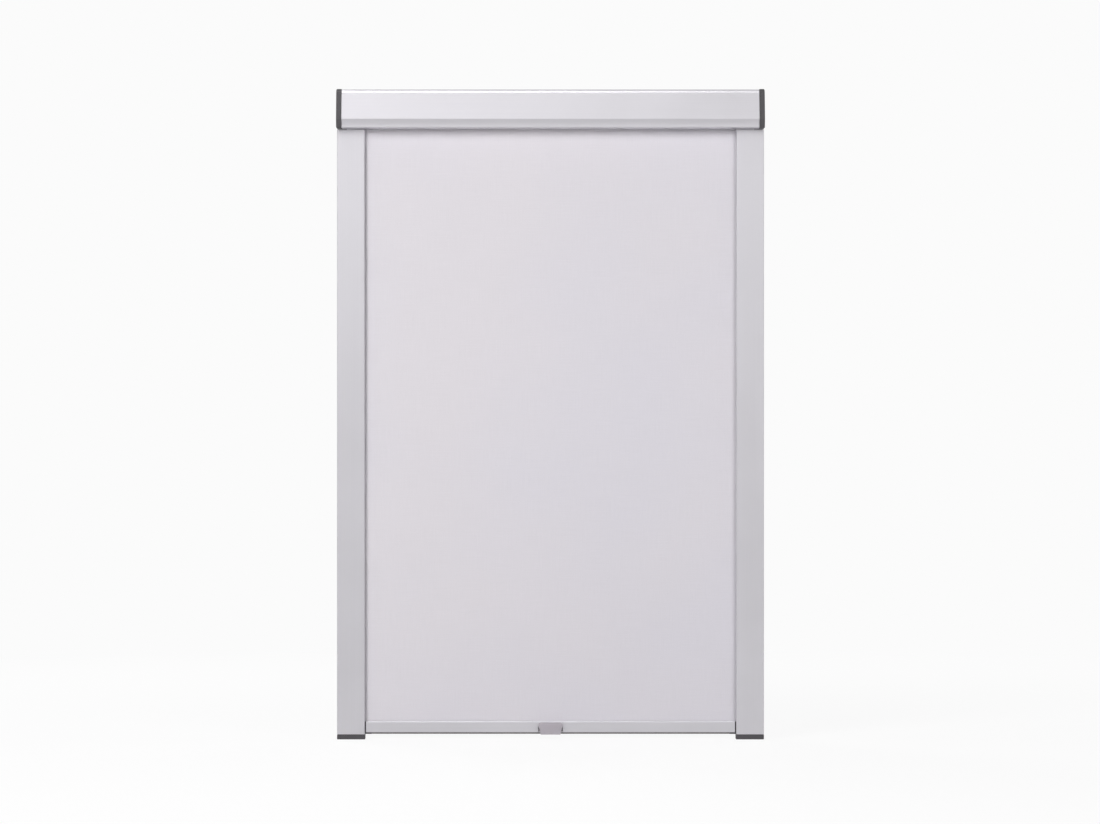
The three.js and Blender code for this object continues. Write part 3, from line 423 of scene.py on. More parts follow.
def object_of(name: str, mesh: bpy.types.Mesh) -> bpy.types.Object:
    """Puts a mesh in the scene as an object at the origin.

    Args:
        name: the object's name.
        mesh: its mesh.

    Returns:
        The object.
    """
    body = bpy.data.objects.new(name, mesh)
    bpy.context.scene.collection.objects.link(body)
    return body


def plain_mesh(body: bpy.types.Object) -> bpy.types.Mesh:
    """Takes an object out of the scene.

    Args:
        body: the object, with or without modifiers.

    Returns:
        Its mesh, with the modifiers worked in.
    """
    name = body.name
    graph = bpy.context.evaluated_depsgraph_get()
    mesh = bpy.data.meshes.new_from_object(body.evaluated_get(graph), depsgraph=graph)
    bpy.data.objects.remove(body)
    mesh.name = name
    return mesh


def grown(
    name: str, mesh: bpy.types.Mesh, recipe: bpy.types.NodeTree, values: dict[str, Any]
) -> bpy.types.Mesh:
    """Runs a geometry node tree on a mesh.

    Args:
        name: the name of the result.
        mesh: the mesh that the tree takes.
        recipe: the tree.
        values: the tree's inputs by name.

    Returns:
        The result as a plain mesh.
    """
    body = object_of(name, mesh)
    modifier = body.modifiers.new(recipe.name, "NODES")
    modifier.node_group = recipe
    for item in recipe.interface.items_tree:
        if item.in_out == "INPUT" and item.name in values:
            modifier[item.identifier] = values[item.name]
    return plain_mesh(body)


def profile_run_tree() -> bpy.types.NodeTree:
    """Builds the tree that carries a flat section along a straight run and closes both ends.

    Returns:
        The tree, made the first time.
    """
    found = bpy.data.node_groups.get("profile_run")
    if found:
        return found
    recipe = Recipe("profile_run")
    section = recipe.source.outputs["Geometry"]
    values = {"Mesh": section, "Offset": recipe.takes("Run", "Vector"), "Offset Scale": 1.0}
    walls = recipe.add("GeometryNodeExtrudeMesh", {**values, "Individual": False}, mode="FACES")
    base = recipe.add("GeometryNodeFlipFaces", {"Mesh": section})
    both = recipe.add("GeometryNodeJoinGeometry", {"Geometry": base.outputs[0]})
    recipe.tree.links.new(walls.outputs["Mesh"], both.inputs["Geometry"])
    weld = {"Geometry": both.outputs[0], "Distance": recipe.takes("Weld")}
    recipe.ends(recipe.add("GeometryNodeMergeByDistance", weld).outputs[0])
    return recipe.tree


def profile(
    outline: Outline, run: Run, span: Span, height: float = 0.0, hole: Outline | None = None
) -> bpy.types.Mesh:
    """Makes a straight length of profile.

    Args:
        outline: the section's outer line, in millimetres.
        run: the direction that it is carried in.
        span: where the run starts and ends.
        height: added to every height.
        hole: the line of a hollow through the whole run.

    Returns:
        The closed mesh, with its faces outwards.
    """
    loops = [without_doubles(loop) for loop in (outline, hole) if loop]
    places = [[run.at(point, span[0], height) for point in loop] for loop in loops]
    points = [place for loop in places for place in loop]
    if hole:
        faces = [list(face) for face in tessellate_polygon(places)]
    else:
        faces = [list(range(len(points)))]
    section = bpy.data.meshes.new("section")
    section.from_pydata(points, [], faces)
    forward = run.value[2]
    if sum((face.normal * face.area for face in section.polygons), Vector()).dot(forward) < 0:
        section.flip_normals()
    for face in section.polygons:
        if face.normal.dot(forward) < 0:
            face.flip()
    values = {"Run": forward * (span[1] - span[0]) * MM, "Weld": WELD}
    return grown("profile", section, profile_run_tree(), values)


def lofted(rings: Sequence[Sequence[Vector]]) -> bpy.types.Mesh:
    """Skins rings and closes the first and the last with a face.

    Args:
        rings: the points of each ring, in metres and of equal count.

    Returns:
        The closed mesh, with its faces outwards.
    """
    count = len(rings[0])
    faces = [list(range(count))[::-1], list(range(count * (len(rings) - 1), count * len(rings)))]
    for i in range(len(rings) - 1):
        for k in range(count):
            a, b = i * count + k, i * count + (k + 1) % count
            faces.append([a, b, b + count, a + count])
    mesh = bpy.data.meshes.new("loft")
    mesh.from_pydata([point for ring in rings for point in ring], [], faces)
    return outward(mesh)


def slab(
    outline: Outline, run: Run, span: Span, height: float, eased: tuple[bool, bool], edge: float
) -> bpy.types.Mesh:
    """Makes a plate whose two faces may have rounded edges.

    Args:
        outline: the plate's closed outline, counter-clockwise, in millimetres.
        run: the direction of its thickness.
        span: where its two faces are.
        height: added to every height.
        eased: whether the edge at the start and at the end is rounded.
        edge: the radius of a rounded edge.

    Returns:
        The closed mesh.
    """
    steps = 5
    turns = [math.pi / 2 * k / steps for k in range(steps + 1)]
    arc = [(edge * (1 - math.sin(t)), edge * (1 - math.cos(t))) for t in turns]
    line = without_doubles(outline)
    start = [(inset, span[0] + rise) for inset, rise in arc] if eased[0] else [(0.0, span[0])]
    end = [(inset, span[1] - rise) for inset, rise in reversed(arc)] if eased[1] else [(0.0, span[1])]
    rings = []
    for inset, along in start + end:
        ring = moved(line, inset, closed=True) if inset else line
        rings.append([run.at(point, along, height) for point in ring])
    return lofted(rings)


def turned(
    silhouette: Sequence[Span], run: Run, centre: Span, height: float = 0.0, sides: int = 48
) -> bpy.types.Mesh:
    """Turns a silhouette about an axis.

    Args:
        silhouette: (radius, along) of its points, the first and the last off the axis.
        run: the direction of the axis.
        centre: where the axis crosses the section.
        height: added to every height.
        sides: how many flats the round has.

    Returns:
        The closed mesh.
    """
    rays = [Vector((math.cos(t), math.sin(t))) for t in (2 * math.pi * k / sides for k in range(sides))]
    middle = Vector(centre)
    rings = [[run.at(middle + ray * radius, along, height) for ray in rays] for radius, along in silhouette]
    return lofted(rings)


def pin(radius: float, run: Run, centre: Span, span: Span, height: float = 0.0) -> bpy.types.Mesh:
    """Makes a plain round pin."""
    return turned([(radius, span[0]), (radius, span[1])], run, centre, height)


def block(xs: Span, depths: Span, heights: Span, height: float = 0.0) -> bpy.types.Mesh:
    """Makes a plain block for joining or cutting."""
    return profile(rectangle(depths, heights), Run.ACROSS, xs, height)


def outward(mesh: bpy.types.Mesh) -> bpy.types.Mesh:
    """Merges doubles and turns all faces outwards.

    Args:
        mesh: a closed mesh, which is changed.

    Returns:
        The same mesh.
    """
    work = bmesh.new()
    work.from_mesh(mesh)
    bmesh.ops.remove_doubles(work, verts=work.verts, dist=WELD)
    bmesh.ops.recalc_face_normals(work, faces=work.faces)
    if work.calc_volume(signed=True) < 0:
        bmesh.ops.reverse_faces(work, faces=work.faces)
    work.to_mesh(mesh)
    work.free()
    return mesh


def mirrored(mesh: bpy.types.Mesh) -> bpy.types.Mesh:
    """Copies a mesh to the other side of the blind.

    Args:
        mesh: the right side's mesh; its large faces are split, so that both sides look alike.

    Returns:
        The left side's mesh.
    """
    work = bmesh.new()
    work.from_mesh(mesh)
    bmesh.ops.triangulate(work, faces=[face for face in work.faces if len(face.verts) > 4])
    work.to_mesh(mesh)
    for vertex in work.verts:
        vertex.co.x = -vertex.co.x
    bmesh.ops.reverse_faces(work, faces=work.faces)
    twin = bpy.data.meshes.new(f"{mesh.name}_twin")
    work.to_mesh(twin)
    work.free()
    return twin


def carved(
    base: bpy.types.Mesh, join: Iterable[bpy.types.Mesh] = (), cut: Iterable[bpy.types.Mesh] = ()
) -> bpy.types.Mesh:
    """Joins solids to a base solid and then cuts others out of it.

    Args:
        base: the solid to start from.
        join: the solids joined to it.
        cut: the solids then cut out.

    Returns:
        The carved solid.
    """
    body = object_of("carved", base)
    groups = []
    for operation, solids in (("UNION", join), ("DIFFERENCE", cut)):
        tools = bpy.data.collections.new(operation)
        bpy.context.scene.collection.children.link(tools)
        groups.append(tools)
        for solid in solids:
            tools.objects.link(bpy.data.objects.new("tool", solid))
        if tools.objects:
            modifier = body.modifiers.new(operation, "BOOLEAN")
            modifier.operation, modifier.solver = operation, "EXACT"
            modifier.operand_type, modifier.collection = "COLLECTION", tools
    mesh = plain_mesh(body)
    for tools in groups:
        for tool in list(tools.objects):
            bpy.data.objects.remove(tool)
        bpy.data.collections.remove(tools)
    return mesh


def eased(mesh: bpy.types.Mesh, width: float, segments: int = 2) -> bpy.types.Mesh:
    """Rounds the sharp edges of a mesh.

    Args:
        mesh: the mesh, whose doubles are merged first.
        width: of the rounding, in millimetres.
        segments: how many flats the rounding has.

    Returns:
        The rounded mesh.
    """
    work = bmesh.new()
    work.from_mesh(mesh)
    bmesh.ops.remove_doubles(work, verts=work.verts, dist=WELD)
    bmesh.ops.dissolve_limit(work, angle_limit=math.radians(1), verts=work.verts, edges=work.edges)
    work.to_mesh(mesh)
    work.free()
    body = object_of("eased", mesh)
    modifier = body.modifiers.new("ease", "BEVEL")
    modifier.width, modifier.segments = width * MM, segments
    modifier.limit_method, modifier.angle_limit = "ANGLE", math.radians(40)
    return plain_mesh(body)


def shaded(mesh: bpy.types.Mesh) -> bpy.types.Mesh:
    """Shades curved faces smooth while flat faces and sharp edges stay so.

    Args:
        mesh: the mesh.

    Returns:
        The mesh with its normals weighed.
    """
    mesh.shade_smooth()
    mesh.set_sharp_from_angle(angle=SHARP_ANGLE)
    body = object_of("shaded", mesh)
    modifier = body.modifiers.new("weigh", "WEIGHTED_NORMAL")
    modifier.mode, modifier.weight, modifier.keep_sharp = "FACE_AREA", 90, True
    return plain_mesh(body)


# Finishes.


def tint(red: int, green: int, blue: int, gain: int = 0) -> tuple[float, float, float, float]:
    """Turns a colour as seen on a screen, 0 to 255, into the shader's linear colour.

    Args:
        red: the red part.
        green: the green part.
        blue: the blue part.
        gain: how much lighter each part is made.

    Returns:
        The colour with its alpha.
    """

    def linear(part: float) -> float:
        """Turns one part of the colour."""
        return part / 12.92 if part <= 0.04045 else ((part + 0.055) / 1.055) ** 2.4

    parts = (max(0, min(255, part + gain)) for part in (red, green, blue))
    return (*(linear(part / 255) for part in parts), 1.0)


class Grain(Enum):
    """The direction of the fine lines in a drawn or brushed surface, as the scale on each axis."""

    ACROSS = (5.0, 1900.0, 1900.0)
    UP = (1900.0, 1900.0, 5.0)


@dataclass(frozen=True)
class Finish:
    """A finish of one colour, which its own kind of surface then varies."""

    name: str
    slot: str
    colour: tuple[int, int, int]
    roughness: float

    def material(self) -> bpy.types.Material:
        """Gives the finish's material.

        Returns:
            The material, made the first time.
        """
        found = bpy.data.materials.get(self.name)
        if found:
            return found
        surface = Surface(self.name)
        self.dress(surface)
        return surface.material

    def dress(self, surface: Surface) -> None:
        """Wires the surface."""
        raise NotImplementedError


@dataclass(frozen=True)
class Anodised(Finish):
    """Extruded aluminium with a satin anodised skin: fine lines along the run, an uneven etch."""

    grain: Grain = Grain.ACROSS
    metallic: float = 0.9
    lines: float = 0.016  # how much the lines change the tone
    line_depth: float = 2e-4  # metres, for lines that change the tone from black to white
    etch_scale: float = 9.0  # patches in a metre
    frost_scale: float = 2600.0
    frost_depth: float = 4e-6
    edge_reach: float = 0.0007
    edge_wear: float = 0.35
    edge_gain: int = 14  # how much lighter a rubbed edge is

    def dress(self, surface: Surface) -> None:
        """Wires the surface.

        Args:
            surface: the node tree of the material.
        """
        drawn = surface.noise(surface.stretched(self.grain.value), 1.0, 3.0)
        etch = surface.noise(surface.place, self.etch_scale, 3.0)
        frost = surface.noise(surface.place, self.frost_scale, 1.0)
        streak = surface.spread(drawn, NOISE, (1 - self.lines, 1 + self.lines))
        cloud = surface.spread(etch, NOISE, (0.985, 1.015))
        tone = surface.math("MULTIPLY", streak, cloud)
        rubbed = surface.math("MULTIPLY", surface.edges(self.edge_reach), self.edge_wear)
        body = surface.toned(tint(*self.colour), tone)
        colour = surface.mixed(rubbed, body, tint(*self.colour, self.edge_gain))
        rough = surface.math("ADD", surface.spread(drawn, NOISE, (-0.03, 0.03)), self.roughness)
        rough = surface.math("ADD", rough, surface.spread(etch, NOISE, (-0.025, 0.025)))
        lines = surface.bump(drawn, self.lines * self.line_depth)
        surface.set(
            Base_Color=colour,
            Metallic=self.metallic,
            Roughness=rough,
            Normal=surface.bump(frost, self.frost_depth, lines),
        )


@dataclass(frozen=True)
class Moulded(Finish):
    """Injection moulded plastic: a fine eroded grain, flow shadows, paler rubbed edges."""

    grain_size: float = 0.45  # millimetres
    grain_depth: float = 0.02
    edge_reach: float = 0.0009
    edge_wear: float = 0.7
    edge_gain: int = 26  # how much lighter a rubbed edge is
    polish: float = 0.06  # how much smoother it is where it is rubbed
    flow: tuple[float, float, float] = (12.0, 30.0, 9.0)  # of the flow shadows, in a metre on each axis
    patch_scale: float = 90.0  # of the rubbed stretches

    def dress(self, surface: Surface) -> None:
        """Wires the surface.

        Args:
            surface: the node tree of the material.
        """
        fine = surface.noise(surface.place, 1 / (self.grain_size * MM), 2.0)
        pits = surface.cells(surface.place, 0.7 / (self.grain_size * MM), "Distance")
        flow = surface.noise(surface.stretched(self.flow), 1.0, 3.0)
        rubbed = surface.edges(self.edge_reach)
        patch = surface.spread(surface.noise(surface.place, self.patch_scale, 2.0), (0.42, 0.62))
        worn = surface.math("MULTIPLY", rubbed, surface.math("MULTIPLY", patch, self.edge_wear))
        tone = surface.spread(flow, NOISE, (0.94, 1.06))
        grit = surface.spread(fine, NOISE, (0.96, 1.04))
        body = surface.toned(tint(*self.colour), surface.math("MULTIPLY", tone, grit))
        pale = tint(*self.colour, self.edge_gain)
        rough = surface.math("ADD", surface.spread(fine, NOISE, (-0.05, 0.05)), self.roughness)
        rough = surface.math("SUBTRACT", rough, surface.math("MULTIPLY", rubbed, self.polish))
        height = surface.math("ADD", fine, surface.math("MULTIPLY", pits, 0.6))
        surface.set(
            Base_Color=surface.mixed(worn, body, pale),
            Roughness=rough,
            IOR=1.49,
            Normal=surface.bump(height, self.grain_depth * MM),
        )


@dataclass(frozen=True)
class Woven(Finish):
    """Blackout cloth: a tight plain weave on a coated polyester, uneven in its threads."""

    pitch: float = 0.42  # of the threads, in millimetres
    thread_depth: float = 0.018
    sheen: float = 0.12
    metallic: float = 0.0
    show: float = 1.0  # how clearly the weave shows through its coating
    cloud_scale: float = 4.5  # of lighter and darker patches, in a metre
    warmth_scale: float = 2.2
    thread_tone: float = 0.03
    slub_tone: float = 0.022
    slub_up: tuple[float, float, float] = (1400.0, 1.0, 26.0)  # of uneven threads, in a metre on each axis
    slub_across: tuple[float, float, float] = (22.0, 1.0, 1400.0)

    def dress(self, surface: Surface) -> None:
        """Wires the surface.

        Args:
            surface: the node tree of the material.
        """
        apart = surface.add("ShaderNodeSeparateXYZ", {0: surface.place}).outputs
        turns = 2 * math.pi / (self.pitch * MM)
        warp = surface.math("SINE", surface.math("MULTIPLY", apart["X"], turns))
        weft = surface.math("SINE", surface.math("MULTIPLY", apart["Z"], turns))
        crossing = surface.math("MULTIPLY", warp, weft)
        upright, level = (
            surface.noise(surface.stretched(scale), 1.0, 2.0) for scale in (self.slub_up, self.slub_across)
        )
        slub = surface.math("ADD", upright, level)
        cloud = surface.noise(surface.place, self.cloud_scale, 3.0)
        warmth = surface.noise(surface.place, self.warmth_scale, 2.0)
        thread, lump = self.thread_tone * self.show, self.slub_tone * self.show
        threads = surface.spread(crossing, (-1.0, 1.0), (1 - thread, 1 + thread))
        uneven = surface.spread(slub, SLUB, (1 - lump, 1 + lump))
        tone = surface.math("MULTIPLY", threads, uneven)
        tone = surface.math("MULTIPLY", tone, surface.spread(cloud, NOISE, (0.992, 1.008)))
        red, green, blue = self.colour
        share = surface.spread(warmth, (0.4, 0.65))
        base = surface.mixed(share, tint(*self.colour), tint(red + 1, green, blue - 2))
        height = surface.math("ADD", surface.math("MULTIPLY", crossing, 0.5), slub)
        surface.set(
            Base_Color=surface.toned(base, tone),
            Metallic=self.metallic,
            Roughness=surface.spread(slub, SLUB, (self.roughness - 0.05, self.roughness + 0.05)),
            Sheen_Weight=self.sheen,
            Sheen_Roughness=0.5,
            Normal=surface.bump(height, self.thread_depth * MM * self.show),
        )


@dataclass(frozen=True)
class Plated(Finish):
    """Steel with a zinc coat: a faint crystal pattern and patches of passivation."""

    metallic: float = 0.95
    crystal: float = 1.6  # millimetres
    drawn: float = 0.0  # how far the surface shows wire drawing instead
    haze_scale: float = 120.0
    fine_scale: float = 3200.0
    fine_depth: float = 5e-6
    drawing: tuple[float, float, float] = (900.0, 40.0, 40.0)  # of the drawing marks, in a metre

    def dress(self, surface: Surface) -> None:
        """Wires the surface.

        Args:
            surface: the node tree of the material.
        """
        crystals = surface.cells(surface.place, 1 / (self.crystal * MM), "Color")
        grey = surface.add("ShaderNodeRGBToBW", {0: crystals}).outputs[0]
        haze = surface.noise(surface.place, self.haze_scale, 3.0)
        fine = surface.noise(surface.place, self.fine_scale, 2.0)
        lines = surface.noise(surface.stretched(self.drawing), 1.0, 3.0)
        pattern = surface.spread(grey, (0.2, 0.8), (0.95 + 0.03 * self.drawn, 1.05 - 0.03 * self.drawn))
        tone = surface.math("MULTIPLY", pattern, surface.spread(haze, NOISE, (0.9, 1.06)))
        marks = surface.spread(lines, NOISE, (1 - self.drawn, 1 + self.drawn))
        tone = surface.math("MULTIPLY", tone, marks)
        red, green, blue = self.colour
        passive = tint(red + 6, green, blue - 10)
        base = surface.mixed(surface.spread(haze, (0.45, 0.7), (0.0, 0.5)), tint(*self.colour), passive)
        rough = surface.math("ADD", surface.spread(haze, NOISE, (-0.07, 0.09)), self.roughness)
        height = surface.math("ADD", fine, surface.math("MULTIPLY", lines, 0.5))
        surface.set(
            Base_Color=surface.toned(base, tone),
            Metallic=self.metallic,
            Roughness=rough,
            Normal=surface.bump(height, self.fine_depth),
        )


@dataclass(frozen=True)
class Fibrous(Finish):
    """Pile or felt: many fine fibres of uneven tone, darker between them with painted shade."""

    fibre: float = 0.12  # millimetres
    tuft_scale: float = 420.0
    cloud_scale: float = 30.0
    depth: float = 0.00012

    def dress(self, surface: Surface) -> None:
        """Wires the surface.

        Args:
            surface: the node tree of the material.
        """
        fibres = surface.noise(surface.place, 1 / (self.fibre * MM), 4.0)
        tufts = surface.cells(surface.place, self.tuft_scale, "Distance")
        cloud = surface.noise(surface.place, self.cloud_scale, 2.0)
        patchy = surface.spread(cloud, NOISE, (0.92, 1.08))
        # painted shade: the fibre noise that sets the bump's height also darkens the colour where it is low,
        # between the fibres; beyond that it is random fibre tone
        tone = surface.math("MULTIPLY", surface.spread(fibres, NOISE, (0.72, 1.2)), patchy)
        height = surface.math("ADD", fibres, surface.math("MULTIPLY", tufts, 0.5))
        surface.set(
            Base_Color=surface.toned(tint(*self.colour), tone),
            Roughness=surface.spread(fibres, NOISE, (self.roughness - 0.06, 1.0)),
            Sheen_Weight=0.35,
            Sheen_Roughness=0.4,
            Normal=surface.bump(height, self.depth),
        )


@dataclass(frozen=True)
class Rubber(Finish):
    """Extruded soft rubber: dull, with drag lines along it and a little dust in them."""

    drag: tuple[float, float, float] = (8.0, 1500.0, 1500.0)  # of the lines, in a metre on each axis
    fine_scale: float = 1800.0
    fine_depth: float = 1.5e-5
    dust_scale: float = 60.0

    def dress(self, surface: Surface) -> None:
        """Wires the surface.

        Args:
            surface: the node tree of the material.
        """
        drag = surface.noise(surface.stretched(self.drag), 1.0, 2.0)
        fine = surface.noise(surface.place, self.fine_scale, 2.0)
        dust = surface.spread(surface.noise(surface.place, self.dust_scale, 4.0), (0.5, 0.75), (0.0, 0.35))
        red, green, blue = self.colour
        dusty = tint(red + 34, green + 33, blue + 30)
        body = surface.toned(tint(*self.colour), surface.spread(drag, NOISE, (0.9, 1.1)))
        surface.set(
            Base_Color=surface.mixed(dust, body, dusty),
            Roughness=surface.spread(fine, NOISE, (self.roughness - 0.08, self.roughness + 0.08)),
            IOR=1.52,
            Normal=surface.bump(surface.math("ADD", drag, fine), self.fine_depth),
        )


SILVER_ACROSS = Anodised("silver_across", "silver_aluminium", (222, 220, 225), 0.42)
SILVER_UP = Anodised("silver_up", "silver_aluminium", (222, 220, 225), 0.42, grain=Grain.UP)
MILL_TUBE = Anodised("mill_tube", "mill_aluminium", (176, 177, 181), 0.34, lines=0.09)
DARK_MOULDED = Moulded("dark_moulded", "dark_plastic", (76, 74, 77), 0.5)
GREY_MOULDED = Moulded("grey_moulded", "grey_plastic", (178, 172, 179), 0.5, edge_gain=10, grain_depth=0.012)
WHITE_MOULDED = Moulded(
    "white_moulded", "white_plastic", (226, 225, 220), 0.35, edge_gain=12, grain_depth=0.006
)
CLOTH_FACE = Woven("cloth_face", "blackout_cloth", (218, 215, 222), 0.86)
CLOTH_BACK = Woven("cloth_back", "blackout_cloth", (224, 225, 228), 0.5, metallic=0.25, show=0.45, sheen=0.05)
ZINC = Plated("zinc_steel_coat", "zinc_steel", (176, 179, 184), 0.33)
SPRING_WIRE = Plated("spring_wire", "spring_steel", (118, 120, 124), 0.3, drawn=0.08)
PILE = Fibrous("grey_pile_fibre", "grey_pile", (148, 146, 149), 0.94)
DARK_RUBBER = Rubber("dark_rubber_lip", "dark_rubber", (122, 119, 116), 0.72)


# Pieces.


def mount(
    name: str, mesh: bpy.types.Mesh, finish: Finish, body: str, *nodes: str, shade: bool = True
) -> bpy.types.Object:
    """Puts a finished piece in the scene and hangs it on its body.

    Args:
        name: the piece's name.
        mesh: its mesh, in place.
        finish: the finish of all its faces.
        body: the body of the frame that carries it.
        nodes: the frame's nodes that it stands for.
        shade: whether its shading is worked out here.

    Returns:
        The piece.
    """
    mesh.materials.clear()
    mesh.materials.append(finish.material())
    if "material_index" in mesh.attributes:
        mesh.attributes.remove(mesh.attributes["material_index"])
    piece = object_of(name, shaded(mesh) if shade else mesh)
    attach(piece, body)
    if nodes:
        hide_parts(*nodes)
    logging.info("%s rides on %s, %d faces", name, body, len(piece.data.polygons))
    return piece


def softened(name: str, finish: Finish, body: str, width: float) -> bpy.types.Object:
    """Stands a copy of a frame node, with its edges eased by a width in millimetres, for that node."""
    mesh = frame["nodes"][name].data.copy()
    return mount(f"{name}_eased", eased(mesh, width), finish, body, name)


def dress_node(name: str, finish: Finish) -> None:
    """Gives a frame node that stays as it is a detailed finish.

    Args:
        name: the node's name.
        finish: the finish of all its faces.
    """
    node = frame["nodes"][name]
    node.data.materials.clear()
    node.data.materials.append(finish.material())
    logging.info("%s keeps its frame node", name)


def low(node: str) -> Vector:
    """A node's lowest corner, in millimetres."""
    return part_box(node)[0] / MM


def high(node: str) -> Vector:
    """A node's highest corner, in millimetres."""
    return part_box(node)[1] / MM


SIDES = (("left", -1), ("right", 1))


@dataclass(frozen=True)
class ScrewHole:
    """The clear hole of a tapping screw in plastic, countersunk from its outer face."""

    radius: float = 1.5
    head_radius: float = 3.4
    rim: float = 0.3  # straight part of the countersink
    depth: float = 2.0

    def way(self, run: Run, centre: Span, span: Span, height: float = 0.0) -> bpy.types.Mesh:
        """Makes the tool for the clear hole."""
        return pin(self.radius, run, centre, span, height)

    def sink(self, run: Run, centre: Span, face: float, outwards: int, height: float = 0.0) -> bpy.types.Mesh:
        """Makes the tool for the countersink.

        Args:
            run: the direction of the hole.
            centre: its middle.
            face: where the outer face is.
            outwards: whether the outside lies up (1) or down (-1) the run.
            height: added to every height.

        Returns:
            The tool.
        """
        silhouette = [
            (self.radius, face - outwards * self.depth),
            (self.head_radius, face - outwards * self.rim),
            (self.head_radius, face + outwards * OVERRUN),
        ]
        return turned(silhouette[::outwards], run, centre, height)


